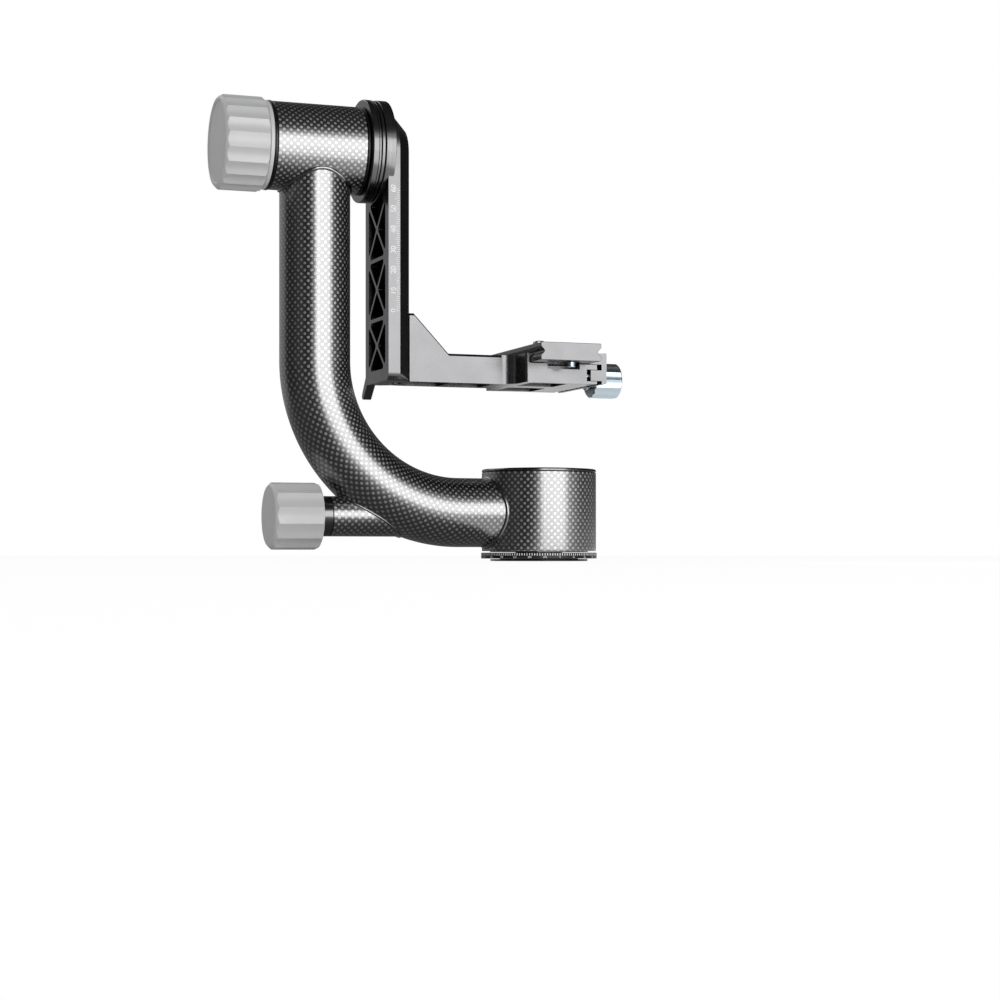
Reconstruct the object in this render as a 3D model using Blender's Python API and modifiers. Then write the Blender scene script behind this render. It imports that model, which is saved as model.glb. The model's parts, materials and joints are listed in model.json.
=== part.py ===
"""Cantilever camera mount: a carbon-tube gimbal head with a panning base, a bent arm and a hanging platform.

Metres, +Z up. The origin is on the pan axis at the foot's underside, and +X points to the platform's clamp.
"""

import math

import bmesh
import bpy
from mathutils import Euler, Matrix

# Clearances, and how far a cutter runs past the surface that it opens
FIT_GAP = 0.0003
OVERRUN = 0.002
MERGE = 0.000001

# Panning base
FOOT_RADIUS = 0.025
FOOT_HEIGHT = 0.001
CORE_RADIUS = 0.020
RING_RADIUS = 0.0297
RING_HEIGHT = 0.003
RING_EDGE = 0.0003
SPINDLE_RADIUS = 0.010
SPINDLE_SHOULDER_RADIUS = 0.012
SPINDLE_THREAD_RADIUS = 0.008
TRIPOD_THREAD_RADIUS = 0.00476
INSERT_WALL = 0.0015
INSERT_LENGTH = 0.012
NUT_RADIUS = 0.0135
NUT_HEIGHT = 0.0028

# Sleeve, and what it holds
SLEEVE_RADIUS = 0.0293
SLEEVE_WALL = 0.0038
SLEEVE_HEIGHT = 0.0401
SLEEVE_RECESS = 0.0005
BEARING_SEAT_RADIUS = 0.0173
BEARING_HEIGHT = 0.008
SEAT_SHOULDER = 0.0023
SEAT_INSET = 0.0014
CAP_EDGE_HEIGHT = 0.0014
CAP_DOME_RISE = 0.0009
CAP_CHAMFER = 0.0005
CAP_SPIGOT = 0.0016

# Bent arm
TUBE_RADIUS = 0.0175
TUBE_WALL = 0.003
TUBE_LEVEL = 0.0246
ARM_REACH = 0.1187
BEND_RADIUS = 0.0745

# Pan lock, beside the bend
LOCK_DROP = 0.0023
STUB_RADIUS = 0.010
STUB_WALL = 0.002
STUB_OFFSET = 0.007
COLLAR_LENGTH = 0.0056
COLLAR_SPIGOT = 0.006
PAN_KNOB_RADIUS = 0.0167
PAN_KNOB_LENGTH = 0.0245
PAN_KNOB_FLUTES = 13
PAN_KNOB_TURN = math.radians(90.0)
PAN_FLUTE_DEPTH = 0.0009
PAN_SCREW_RADIUS = 0.003
PAN_SCREW_GRIP = 0.016
BRAKE_SHOE_RADIUS = 0.004
BRAKE_SHOE_LENGTH = 0.013

# Tilt housing on the arm's upper end
TILT_LEVEL = 0.2042
HOUSING_RADIUS = 0.0215
HOUSING_WALL = 0.0035
HOUSING_LENGTH = 0.0447
HOUSING_OFFSET = 0.0213
END_RING_STEP = 0.0003
END_RING_LENGTH = 0.0011
FLANGE_RADIUS = 0.0254
FLANGE_LENGTH = 0.0043
FLANGE_CHAMFER = 0.0005
FRICTION_RING_LENGTH = 0.0016
FRICTION_RING_STEP = 0.0003
LINER_WALL = 0.0034
TILT_BEARING_LENGTH = 0.007
TILT_BEARING_INSET = 0.002
LINER_SHOULDER = 0.0018

# Tilt lock
SHAFT_RADIUS = 0.009
SHAFT_THREAD_RADIUS = 0.005
THRUST_LENGTH = 0.0021
THRUST_RADIUS = 0.0216
TILT_KNOB_RADIUS = 0.023
TILT_KNOB_LENGTH = 0.0218
TILT_KNOB_FLUTES = 20
TILT_KNOB_TURN = math.radians(15.0)
TILT_FLUTE_DEPTH = 0.0009
KNOB_CHAMFER = 0.0018
KNOB_BACK_CHAMFER = 0.0008
KNOB_RIM = 0.0012
KNOB_RECESS = 0.0006
KNOB_INSERT_RADIUS = 0.008
KNOB_INSERT_LENGTH = 0.014

# Tilt hub
HUB_LENGTH = 0.0053
HUB_BOSS_LENGTH = 0.0078
HUB_FLOOR = 0.0022
HUB_SCREW_RADIUS = 0.003
HUB_SCREW_HEAD_RADIUS = 0.005
HUB_SCREW_HEAD_LENGTH = 0.0042
HUB_SCREW_GRIP = 0.0125

# Swing plate, seated in the hub
PLATE_THICKNESS = 0.0125
PLATE_HALF_WIDTH = 0.0202
PLATE_DROP = 0.115
PLATE_RISE = 0.0186
PLATE_CHAMFER = 0.0065
PLATE_CORNER = 0.004
PLATE_INNER_CORNER = 0.0008
PLATE_SCREW_RADIUS = 0.0025
PLATE_SCREW_HEAD_RADIUS = 0.0038
PLATE_SCREW_HEAD_LENGTH = 0.004
PLATE_SCREW_OFFSET = 0.0095
PLATE_SCREW_GRIP = 0.004
TRUSS_HALF_WIDTH = 0.0146
TRUSS_MARGIN = 0.0053
TRUSS_FIRST_CELL = 0.0261
TRUSS_CELL = 0.030
TRUSS_CELLS = 3
TRUSS_RIB = 0.0018
TRUSS_DEPTH = 0.0055
TRUSS_CORNER = 0.0012

# Rail slot in the plate's right face, and the platform's runner in it
RAIL_HALF_NECK = 0.0045
RAIL_HALF_HEAD = 0.0075
RAIL_NECK_DEPTH = 0.002
RAIL_HEAD_DEPTH = 0.0024
RUNNER_INSET = 0.0005
PLATFORM_TRAVEL = 0.060

# Lock lever of the platform, beyond the plate's far edge
LEVER_EYE_RADIUS = 0.003
LEVER_HALF_THICKNESS = 0.0018
LEVER_WIDTH = 0.0044
LEVER_LENGTH = 0.0165
LEVER_OFFSET = 0.0011
LEVER_ANGLE = math.radians(-47.0)
LEVER_PIN_RADIUS = 0.0012
LEVER_PIN_GRIP = 0.0045
LOCK_EAR_LENGTH = 0.009
LOCK_EAR_FOOT = 0.0025
LOCK_RIM = 0.002

# Platform arm with its gusset
ARM_HALF_WIDTH = 0.014
ARM_HEIGHT = 0.0145
ARM_BEVEL = 0.0012
ARM_LENGTH = 0.0485
GUSSET_HEIGHT = 0.0194
GUSSET_TOP = 0.0024
GUSSET_RUN = 0.0181
FILLET_RADIUS = 0.007
ARM_POCKET_MARGIN = 0.0035
ARM_POCKET_DEPTH = 0.005
ARM_POCKETS = 2

# Platform clamp
FIXED_JAW = 0.0021
CLAMP_HALF_LENGTH = 0.030
CLAMP_CORNER = 0.0012
CLAMP_FLOOR_HEIGHT = 0.0096
CLAMP_OVERHANG = 0.0038
NOTCH_DEPTH = 0.0026
NOTCH_HALF_WIDTH = 0.0087
NOTCH_OFFSET = 0.0018
NOTCH_LENGTH = 0.012
SLOT_DEPTH = 0.0055
SLOT_FLOOR = 0.0013
SLOT_HEIGHT = 0.0059
CLAMP_POCKET_HALF_LENGTH = 0.010
CLAMP_POCKET_MARGIN = 0.004
CLAMP_POCKET_DEPTH = 0.0045
POCKET_CORNER = 0.002

# Quick plate
QUICK_HALF_WIDTH = 0.016
QUICK_HALF_LENGTH = 0.045
QUICK_THICKNESS = 0.0088
QUICK_SEAT_GAP = 0.0004
QUICK_CORNER = 0.0005
DOVETAIL_FOOT = 0.0022
DOVETAIL_DEPTH = 0.0018
DOVETAIL_NECK = 0.0008
SCREW_SLOT_HALF_WIDTH = 0.0035
SCREW_SLOT_HALF_LENGTH = 0.018
HEAD_SLOT_HALF_WIDTH = 0.0064
HEAD_SLOT_HALF_LENGTH = 0.021
HEAD_SLOT_DEPTH = 0.0044
PAD_HALF_WIDTH = 0.013
PAD_LENGTH = 0.016
PAD_MARGIN = 0.004
PAD_THICKNESS = 0.0008
PAD_RECESS = 0.0008
PAD_CORNER = 0.002
STOP_INSET = 0.005
STOP_HEAD_RADIUS = 0.002
STOP_HEAD_LENGTH = 0.0025
STOP_SHANK_RADIUS = 0.0012
STOP_SHANK_LENGTH = 0.005
CAMERA_SCREW_RADIUS = 0.0031
CAMERA_SCREW_RISE = 0.005
CAMERA_HEAD_RADIUS = 0.006
CAMERA_HEAD_LENGTH = 0.0025
CAMERA_WASHER_LENGTH = 0.0009

# Moving jaw and its screw
JAW_SHELL = 0.0027
JAW_GAP = 0.0026
JAW_RISE = 0.0012
JAW_CORNER = 0.0005
TONGUE_ROOM = 0.0022
NOSE_BACKSET = 0.0003
CLAMP_SCREW_RADIUS = 0.003
CLAMP_SCREW_GRIP = 0.016
CLAMP_WASHER_RADIUS = 0.005
CLAMP_WASHER_LENGTH = 0.0023
CLAMP_KNOB_RADIUS = 0.0091
CLAMP_KNOB_LENGTH = 0.015
CLAMP_KNOB_FLUTES = 14
CLAMP_FLUTE_DEPTH = 0.0005
CLAMP_KNOB_GRIP = 0.010
SMALL_KNOB_CHAMFER = 0.0008
GUIDE_PIN_RADIUS = 0.0012
GUIDE_PIN_GRIP = 0.0055
GUIDE_PIN_REACH = 0.0033
GUIDE_PIN_INSET = 0.0035

# Finenesses, as counts
BIG_STEPS = 32
MID_STEPS = 20
SMALL_STEPS = 12
HEX_STEPS = 6
FLUTE_POINTS = 3
TUBE_BEVEL_RESOLUTION = 8
BEND_STEPS = 12
ROUND_STEPS = 32
CORNER_STEPS = 3

# Levels of the base, from the foot up
ring_low = FOOT_HEIGHT + FIT_GAP
ring_top = ring_low + RING_HEIGHT
core_top = ring_top - FIT_GAP
housing_low = ring_top + FIT_GAP
sleeve_low = housing_low + SLEEVE_RECESS
sleeve_top = sleeve_low + SLEEVE_HEIGHT
liner_top = sleeve_top - FIT_GAP
liner_radius = SLEEVE_RADIUS - SLEEVE_WALL - FIT_GAP
lower_bearing_low = housing_low + SEAT_INSET
lower_bearing_top = lower_bearing_low + BEARING_HEIGHT
nut_top = liner_top - CAP_SPIGOT
nut_low = nut_top - NUT_HEIGHT
upper_bearing_top = nut_low - FIT_GAP
upper_bearing_low = upper_bearing_top - BEARING_HEIGHT
cap_low = sleeve_top + FIT_GAP
lock_level = TUBE_LEVEL - LOCK_DROP
insert_radius = TRIPOD_THREAD_RADIUS + INSERT_WALL

# Stations along X, from the knobs to the clamp
housing_right = -ARM_REACH + HOUSING_OFFSET
housing_left = housing_right - HOUSING_LENGTH
left_ring_high = housing_left - FIT_GAP
left_ring_low = left_ring_high - END_RING_LENGTH
right_ring_low = housing_right + FIT_GAP
right_ring_high = right_ring_low + END_RING_LENGTH
flange_left = right_ring_high + FIT_GAP
flange_right = flange_left + FLANGE_LENGTH
friction_left = flange_right + FIT_GAP
friction_right = friction_left + FRICTION_RING_LENGTH
hub_left = friction_right + FIT_GAP
hub_right = hub_left + HUB_LENGTH
hub_floor = hub_left + HUB_FLOOR
boss_left = hub_left - HUB_BOSS_LENGTH
shaft_right = boss_left - FIT_GAP
thrust_right = left_ring_low - FIT_GAP
thrust_left = thrust_right - THRUST_LENGTH
tilt_knob_right = thrust_left - FIT_GAP
tilt_knob_left = tilt_knob_right - TILT_KNOB_LENGTH
tilt_insert_left = tilt_knob_right - KNOB_INSERT_LENGTH
collar_right = -ARM_REACH + STUB_OFFSET
collar_left = collar_right - COLLAR_LENGTH
pan_knob_right = collar_left - FIT_GAP
pan_knob_left = pan_knob_right - PAN_KNOB_LENGTH
bend_x = -ARM_REACH + BEND_RADIUS
bend_z = TUBE_LEVEL + BEND_RADIUS
tilt_liner_radius = HOUSING_RADIUS - HOUSING_WALL - FIT_GAP
tilt_bore = tilt_liner_radius - LINER_WALL

# Swing plate
plate_left = hub_floor + FIT_GAP
plate_right = plate_left + PLATE_THICKNESS
plate_shoulder = plate_right - PLATE_CHAMFER
plate_low = TILT_LEVEL - PLATE_DROP
plate_top = TILT_LEVEL + PLATE_RISE
pocket_floor = plate_left + TRUSS_DEPTH
plate_screw_seat = plate_right - PLATE_SCREW_HEAD_LENGTH
plate_screw_end = hub_left - PLATE_SCREW_GRIP
rail_shoulder = plate_right - RAIL_NECK_DEPTH
rail_floor = rail_shoulder - RAIL_HEAD_DEPTH

# Platform, clamp and quick plate
platform_left = plate_right + FIT_GAP
clamp_left = platform_left + ARM_LENGTH + FILLET_RADIUS
quick_x = clamp_left + FIXED_JAW + FIT_GAP + QUICK_HALF_WIDTH
clamp_right = quick_x + QUICK_HALF_WIDTH + CLAMP_OVERHANG
arm_top = plate_low + ARM_HEIGHT
floor_top = plate_low + CLAMP_FLOOR_HEIGHT
slot_low = plate_low + SLOT_FLOOR
slot_high = slot_low + SLOT_HEIGHT
slot_left = clamp_right - SLOT_DEPTH
clamp_level = (slot_low + slot_high) / 2
notch_x = quick_x + NOTCH_OFFSET
quick_low = floor_top + QUICK_SEAT_GAP
quick_top = quick_low + QUICK_THICKNESS
neck_low = quick_low + DOVETAIL_FOOT + DOVETAIL_DEPTH
neck_high = neck_low + DOVETAIL_NECK
jaw_left = clamp_right + JAW_GAP
jaw_right = jaw_left + JAW_SHELL
tongue_left = slot_left + TONGUE_ROOM
washer_left = jaw_right + FIT_GAP
clamp_knob_left = washer_left + CLAMP_WASHER_LENGTH + FIT_GAP
gusset_top = arm_top + GUSSET_HEIGHT
rail_top = gusset_top + PLATFORM_TRAVEL + FIT_GAP

# Lock lever and the ear that carries it
ear_low = plate_low + LOCK_EAR_FOOT
ear_top = arm_top - ARM_BEVEL
lever_x = plate_shoulder - LEVER_OFFSET
lever_y = PLATE_HALF_WIDTH + FIT_GAP + LEVER_EYE_RADIUS
lever_z = (ear_low + ear_top) / 2
cheek_left = lever_x + LEVER_WIDTH / 2 + FIT_GAP
cheek_near = PLATE_HALF_WIDTH + FIT_GAP
cheek_far = lever_y + LEVER_EYE_RADIUS + LOCK_RIM

FINISHES = {
    "carbon": ((0.025, 0.025, 0.028), 0.22, 0.0),
    "black": ((0.012, 0.012, 0.013), 0.35, 0.6),
    "dark": ((0.06, 0.06, 0.065), 0.38, 0.8),
    "grey": ((0.55, 0.55, 0.56), 0.4, 0.7),
    "silver": ((0.60, 0.66, 0.70), 0.15, 1.0),
    "steel": ((0.56, 0.56, 0.55), 0.25, 1.0),
    "brass": ((0.60, 0.45, 0.18), 0.35, 1.0),
    "rubber": ((0.02, 0.02, 0.02), 0.8, 0.0),
}

# A turned shape's local Z is laid along one of these directions
DIRECTIONS = {
    "+Z": Euler((0, 0, 0)),
    "+X": Euler((0, math.pi / 2, 0)),
    "-X": Euler((0, -math.pi / 2, 0)),
    "+Y": Euler((-math.pi / 2, 0, 0)),
}

# A flat outline's local X and Y lie in one of these planes
PLANES = {
    "XY": Euler((0, 0, 0)),
    "XZ": Euler((math.pi / 2, 0, 0)),
    "YZ": Euler((math.pi / 2, 0, math.pi / 2)),
}

PART = bpy.data.collections.new("cantilever_camera_mount")
CUTTERS = bpy.data.collections.new("cutters")
AXES = {}


def clear_scene():
    """Remove the old objects and link the two collections."""
    for old in list(bpy.data.objects):
        bpy.data.objects.remove(old, do_unlink=True)
    for collection in (PART, CUTTERS):
        bpy.context.scene.collection.children.link(collection)


def add(name, data, centre=(0, 0, 0), turn=None):
    """Link a new object at a place, turned by an Euler."""
    obj = bpy.data.objects.new(name, data)
    PART.objects.link(obj)
    obj.location = centre
    if turn is not None:
        obj.rotation_euler = turn
    return obj


def finish(obj, look, body):
    """Give a sub-part its own material and hang it on its body's axis."""
    colour, roughness, metallic = FINISHES[look]
    made = bpy.data.materials.new(f"{obj.name}_{look}")
    made.use_nodes = True
    shader = made.node_tree.nodes["Principled BSDF"]
    shader.inputs["Base Color"].default_value = (*colour, 1.0)
    shader.inputs["Roughness"].default_value = roughness
    shader.inputs["Metallic"].default_value = metallic
    obj.data.materials.clear()
    obj.data.materials.append(made)
    obj.parent = AXES[body]
    obj.matrix_parent_inverse = Matrix.Translation(AXES[body].location).inverted()
    return obj


def make_axes():
    """One empty on each body's joint axis."""
    places = {
        "base": (0, 0, 0),
        "arm": (0, 0, 0),
        "pan_brake": (0, 0, lock_level),
        "pan_lock": (0, 0, lock_level),
        "tilt_thrust": (0, 0, TILT_LEVEL),
        "tilt_lock": (0, 0, TILT_LEVEL),
        "hub": (hub_left, 0, TILT_LEVEL),
        "carriage": (platform_left, 0, plate_low),
        "lever": (lever_x, lever_y, lever_z),
        "jaw": (jaw_left, 0, clamp_level),
        "clamp_lock": (jaw_left, 0, clamp_level),
        "quick": (quick_x, 0, quick_low),
        "camera_clip": (quick_x, 0, quick_low),
        "camera_screw": (quick_x, 0, quick_low),
    }
    for name, place in places.items():
        AXES[name] = add(f"axis_{name}", None, place)


def middle(low, high):
    """The point half way between two stations."""
    return (low + high) / 2


def combine(obj, other, operation="DIFFERENCE"):
    """Cut a shape with another, or join or intersect them; the other shape becomes a hidden cutter."""
    PART.objects.unlink(other)
    CUTTERS.objects.link(other)
    other.hide_render = True
    other.display_type = "WIRE"
    boolean = obj.modifiers.new(operation.title(), "BOOLEAN")
    boolean.operation = operation
    boolean.solver = "EXACT"
    boolean.object = other
    return obj


def turned(name, profile, direction="+Z", centre=(0, 0, 0), steps=MID_STEPS, closed=False):
    """Turn a profile of (radius, height) points, which runs down its outer side, about the local Z axis."""
    mesh = bpy.data.meshes.new(name)
    points = [(radius, 0, height) for radius, height in profile]
    edges = [(i, i + 1) for i in range(len(points) - 1)]
    if closed:
        edges.append((len(points) - 1, 0))
    mesh.from_pydata(points, edges, [])
    obj = add(name, mesh, centre, DIRECTIONS[direction])
    screw = obj.modifiers.new("Screw", "SCREW")
    screw.axis = "Z"
    screw.steps = screw.render_steps = steps
    screw.use_merge_vertices = True
    screw.merge_threshold = MERGE
    screw.use_smooth_shade = True
    return obj


def disc(radius, low, high, chamfer=0.0):
    """The profile of a solid disc or rod, with both rims chamfered."""
    if not chamfer:
        return [(0, high), (radius, high), (radius, low), (0, low)]
    inset = radius - chamfer
    rims = [(inset, high), (radius, high - chamfer), (radius, low + chamfer), (inset, low)]
    return [(0, high), *rims, (0, low)]


def hoop(inner, outer, low, high, chamfer=0.0):
    """The closed profile of a ring, with its outer rims chamfered."""
    if not chamfer:
        return [(outer, high), (outer, low), (inner, low), (inner, high)]
    inset = outer - chamfer
    rims = [(inset, high), (outer, high - chamfer), (outer, low + chamfer), (inset, low)]
    return [*rims, (inner, low), (inner, high)]


def ring(name, inner, outer, low, high, direction="+Z", centre=(0, 0, 0), steps=MID_STEPS, chamfer=0.0):
    """A turned ring between two heights."""
    return turned(name, hoop(inner, outer, low, high, chamfer), direction, centre, steps, closed=True)


def rod(name, radius, low, high, direction="+Z", centre=(0, 0, 0), steps=SMALL_STEPS, chamfer=0.0):
    """A turned rod between two heights."""
    return turned(name, disc(radius, low, high, chamfer), direction, centre, steps)


def box(name, low, high):
    """A box between two corners."""
    mesh = bpy.data.meshes.new(name)
    shape = bmesh.new()
    bmesh.ops.create_cube(shape, size=1)
    for vertex in shape.verts:
        for axis in range(3):
            at_high = vertex.co[axis] > 0
            vertex.co[axis] = high[axis] if at_high else low[axis]
    shape.to_mesh(mesh)
    shape.free()
    return add(name, mesh)


def as_mesh(curve_object):
    """Swap a curve object for a welded mesh of the same shape and place."""
    bpy.context.view_layer.update()
    evaluated = curve_object.evaluated_get(bpy.context.evaluated_depsgraph_get())
    mesh = bpy.data.meshes.new_from_object(evaluated)
    shape = bmesh.new()
    shape.from_mesh(mesh)
    bmesh.ops.remove_doubles(shape, verts=shape.verts, dist=MERGE)
    bmesh.ops.recalc_face_normals(shape, faces=shape.faces)
    shape.to_mesh(mesh)
    shape.free()
    name = curve_object.name
    matrix = curve_object.matrix_world.copy()
    bpy.data.objects.remove(curve_object, do_unlink=True)
    obj = add(name, mesh)
    obj.matrix_world = matrix
    return obj


def prism(name, outlines, low, high, plane):
    """Extrude flat outlines in a plane from a low to a high station across it."""
    curve = bpy.data.curves.new(name, "CURVE")
    curve.dimensions = "2D"
    curve.fill_mode = "BOTH"
    curve.extrude = (high - low) / 2
    for outline in outlines:
        spline = curve.splines.new("POLY")
        spline.points.add(len(outline) - 1)
        for point, (across, up) in zip(spline.points, outline):
            point.co = (across, up, 0, 1)
        spline.use_cyclic_u = True
    station = middle(low, high)
    centre = {"XY": (0, 0, station), "XZ": (0, station, 0), "YZ": (station, 0, 0)}[plane]
    return as_mesh(add(name, curve, centre, PLANES[plane]))


def pipe(name, path, radius):
    """A round bar along a path of points, with flat ends."""
    curve = bpy.data.curves.new(name, "CURVE")
    curve.dimensions = "3D"
    curve.bevel_depth = radius
    curve.bevel_resolution = TUBE_BEVEL_RESOLUTION
    curve.use_fill_caps = True
    spline = curve.splines.new("POLY")
    spline.points.add(len(path) - 1)
    for point, place in zip(spline.points, path):
        point.co = (*place, 1)
    return as_mesh(add(name, curve))


def lofted(name, sections):
    """Join closed sections of equal point count, each a list of places, into one capped solid."""
    mesh = bpy.data.meshes.new(name)
    shape = bmesh.new()
    loops = [[shape.verts.new(place) for place in section] for section in sections]
    for first, second in zip(loops, loops[1:]):
        for i in range(len(first)):
            j = (i + 1) % len(first)
            shape.faces.new((first[i], first[j], second[j], second[i]))
    shape.faces.new(loops[0])
    shape.faces.new(loops[-1])
    bmesh.ops.recalc_face_normals(shape, faces=shape.faces)
    shape.to_mesh(mesh)
    shape.free()
    return add(name, mesh)


def arc(centre, radius, start, end, steps):
    """Points of an arc between two angles, both ends included."""
    angles = [start + (end - start) * i / steps for i in range(steps + 1)]
    return [(centre[0] + radius * math.cos(a), centre[1] + radius * math.sin(a)) for a in angles]


def rounded(corners, radius, steps=CORNER_STEPS):
    """Round every corner of a polygon with tangent curves; radius may be a list, one for each corner."""
    radii = radius if isinstance(radius, list) else [radius] * len(corners)
    outline = []
    for i, corner in enumerate(corners):
        if not radii[i]:
            outline.append(corner)
            continue
        before, after = corners[i - 1], corners[(i + 1) % len(corners)]
        to_before = unit(corner, before)
        to_after = unit(corner, after)
        opening = math.acos(to_before[0] * to_after[0] + to_before[1] * to_after[1])
        reach = radii[i] / math.tan(opening / 2)
        start = [corner[k] + to_before[k] * reach for k in range(2)]
        end = [corner[k] + to_after[k] * reach for k in range(2)]
        along = [to_before[k] + to_after[k] for k in range(2)]
        size = math.hypot(*along)
        to_centre = radii[i] / math.sin(opening / 2)
        centre = [corner[k] + along[k] / size * to_centre for k in range(2)]
        first = math.atan2(start[1] - centre[1], start[0] - centre[0])
        last = math.atan2(end[1] - centre[1], end[0] - centre[0])
        sweep = (last - first + math.pi) % (2 * math.pi) - math.pi
        outline.extend(arc(centre, radii[i], first, first + sweep, steps))
    return outline


def unit(start, end):
    """The flat direction from one point to another."""
    size = math.dist(start, end)
    return ((end[0] - start[0]) / size, (end[1] - start[1]) / size)


def rectangle(low, high):
    """The corners of a rectangle, anticlockwise."""
    return [low, (high[0], low[1]), high, (low[0], high[1])]


def fluted(name, blank, radius, low, high, flutes, depth, direction, centre, turn=0):
    """A knob: a prism whose side has concave flutes between sharp ridges, trimmed by a turned blank."""
    outline = []
    count = flutes * FLUTE_POINTS
    for step in range(count):
        share = (step % FLUTE_POINTS) / FLUTE_POINTS - 1 / 2
        reach = radius - depth * math.cos(math.pi * share)
        angle = 2 * math.pi * step / count + turn
        outline.append((reach * math.cos(angle), reach * math.sin(angle)))
    knob = prism(name, [outline], low - OVERRUN, high + OVERRUN, "XY")
    station = Matrix.Translation(knob.location)
    knob.data.transform(station)
    knob.location = centre
    knob.rotation_euler = DIRECTIONS[direction]
    trim = turned(f"{name}_blank", blank, direction, centre, BIG_STEPS)
    return combine(knob, trim, "INTERSECT")


def knob_blank(radius, low, high, chamfer, back_chamfer, bore, bore_end, recess=0):
    """A knob's turned profile: its face, which may be recessed, is low; a blind bore opens at the high end."""
    rim = radius - chamfer
    past = radius + OVERRUN
    back = radius - back_chamfer
    profile = [
        (0, bore_end),
        (bore, bore_end),
        (bore, high),
        (back, high),
        (past, high - back_chamfer - OVERRUN),
        (past, low + chamfer + OVERRUN),
        (rim, low),
    ]
    if recess:
        profile += [(rim - KNOB_RIM, low), (rim - KNOB_RIM - recess, low + recess)]
    return profile + [(0, low + recess)]


def socket_screw(name, head, head_length, shank, shank_length, direction, centre):
    """A cap screw with a hex socket: its head points along the direction, from its seat at the centre."""
    profile = [
        (0, head_length),
        (head - KNOB_RECESS, head_length),
        (head, head_length - KNOB_RECESS),
        (head, 0),
        (shank, 0),
        (shank, -shank_length),
        (0, -shank_length),
    ]
    screw = turned(name, profile, direction, centre, SMALL_STEPS)
    socket = disc(head / 2, head_length / 2, head_length + OVERRUN)
    return combine(screw, turned(f"{name}_socket", socket, direction, centre, HEX_STEPS))


def make_base():
    """Foot, spindle, thread insert, degree ring and the nut that holds the bearings down."""
    insert_seat = insert_radius + FIT_GAP
    insert_top = FIT_GAP + INSERT_LENGTH
    profile = [
        (0, nut_top),
        (SPINDLE_THREAD_RADIUS, nut_top),
        (SPINDLE_THREAD_RADIUS, upper_bearing_top),
        (SPINDLE_RADIUS, upper_bearing_top),
        (SPINDLE_RADIUS, lower_bearing_low - FIT_GAP),
        (SPINDLE_SHOULDER_RADIUS, lower_bearing_low - FIT_GAP),
        (SPINDLE_SHOULDER_RADIUS, core_top),
        (CORE_RADIUS, core_top),
        (CORE_RADIUS, FOOT_HEIGHT),
        (FOOT_RADIUS, FOOT_HEIGHT),
        (FOOT_RADIUS, 0),
        (insert_seat, 0),
        (insert_seat, insert_top + FIT_GAP),
        (0, insert_top + FIT_GAP),
    ]
    finish(turned("base_plate", profile, steps=BIG_STEPS), "black", "base")
    insert = ring("thread_insert", TRIPOD_THREAD_RADIUS, insert_radius, FIT_GAP, insert_top, steps=SMALL_STEPS)
    finish(insert, "steel", "base")
    inner = CORE_RADIUS + FIT_GAP
    degree = ring("degree_ring", inner, RING_RADIUS, ring_low, ring_top, steps=BIG_STEPS, chamfer=RING_EDGE)
    finish(degree, "black", "base")
    nut = turned("spindle_nut", disc(NUT_RADIUS, nut_low, nut_top), steps=HEX_STEPS)
    bore = rod("nut_bore", SPINDLE_THREAD_RADIUS + FIT_GAP, nut_low - OVERRUN, nut_top + OVERRUN)
    finish(combine(nut, bore), "steel", "base")


def make_sleeve():
    """Carbon sleeve, its metal liner, the two pan bearings and the cap."""
    sleeve = ring(
        "sleeve", SLEEVE_RADIUS - SLEEVE_WALL, SLEEVE_RADIUS, sleeve_low, sleeve_top, steps=BIG_STEPS
    )
    mouth = rod(
        "sleeve_mouth",
        TUBE_RADIUS + FIT_GAP,
        -SLEEVE_RADIUS - OVERRUN,
        0,
        "+X",
        (0, 0, TUBE_LEVEL),
        MID_STEPS,
    )
    finish(combine(sleeve, mouth), "carbon", "arm")
    lower_shoulder = lower_bearing_top + FIT_GAP
    upper_shoulder = upper_bearing_low - FIT_GAP
    waist = BEARING_SEAT_RADIUS - SEAT_SHOULDER
    profile = [
        (liner_radius, liner_top),
        (liner_radius, housing_low),
        (BEARING_SEAT_RADIUS, housing_low),
        (BEARING_SEAT_RADIUS, lower_shoulder),
        (waist, lower_shoulder),
        (waist, upper_shoulder),
        (BEARING_SEAT_RADIUS, upper_shoulder),
        (BEARING_SEAT_RADIUS, liner_top),
    ]
    liner = turned("pan_housing", profile, steps=BIG_STEPS, closed=True)
    shoe_bore = rod(
        "shoe_bore",
        BRAKE_SHOE_RADIUS + FIT_GAP,
        -liner_radius - OVERRUN,
        -SPINDLE_RADIUS,
        "+X",
        (0, 0, lock_level),
    )
    finish(combine(liner, shoe_bore), "dark", "arm")
    inner = SPINDLE_RADIUS + FIT_GAP
    outer = BEARING_SEAT_RADIUS - FIT_GAP
    for name, low in (("pan_bearing_lower", lower_bearing_low), ("pan_bearing_upper", upper_bearing_low)):
        bearing = ring(name, inner, outer, low, low + BEARING_HEIGHT)
        finish(bearing, "steel", "arm")
    cap_edge = cap_low + CAP_EDGE_HEIGHT
    spigot = BEARING_SEAT_RADIUS - FIT_GAP
    profile = [
        (0, cap_edge + CAP_DOME_RISE),
        (SLEEVE_RADIUS / 2, cap_edge + CAP_DOME_RISE * 3 / 4),
        (SLEEVE_RADIUS - CAP_CHAMFER, cap_edge),
        (SLEEVE_RADIUS, cap_edge - CAP_CHAMFER),
        (SLEEVE_RADIUS, cap_low),
        (spigot, cap_low),
        (spigot, nut_top + FIT_GAP),
        (0, nut_top + FIT_GAP),
    ]
    finish(turned("pan_cap", profile, steps=BIG_STEPS), "black", "arm")


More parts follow.
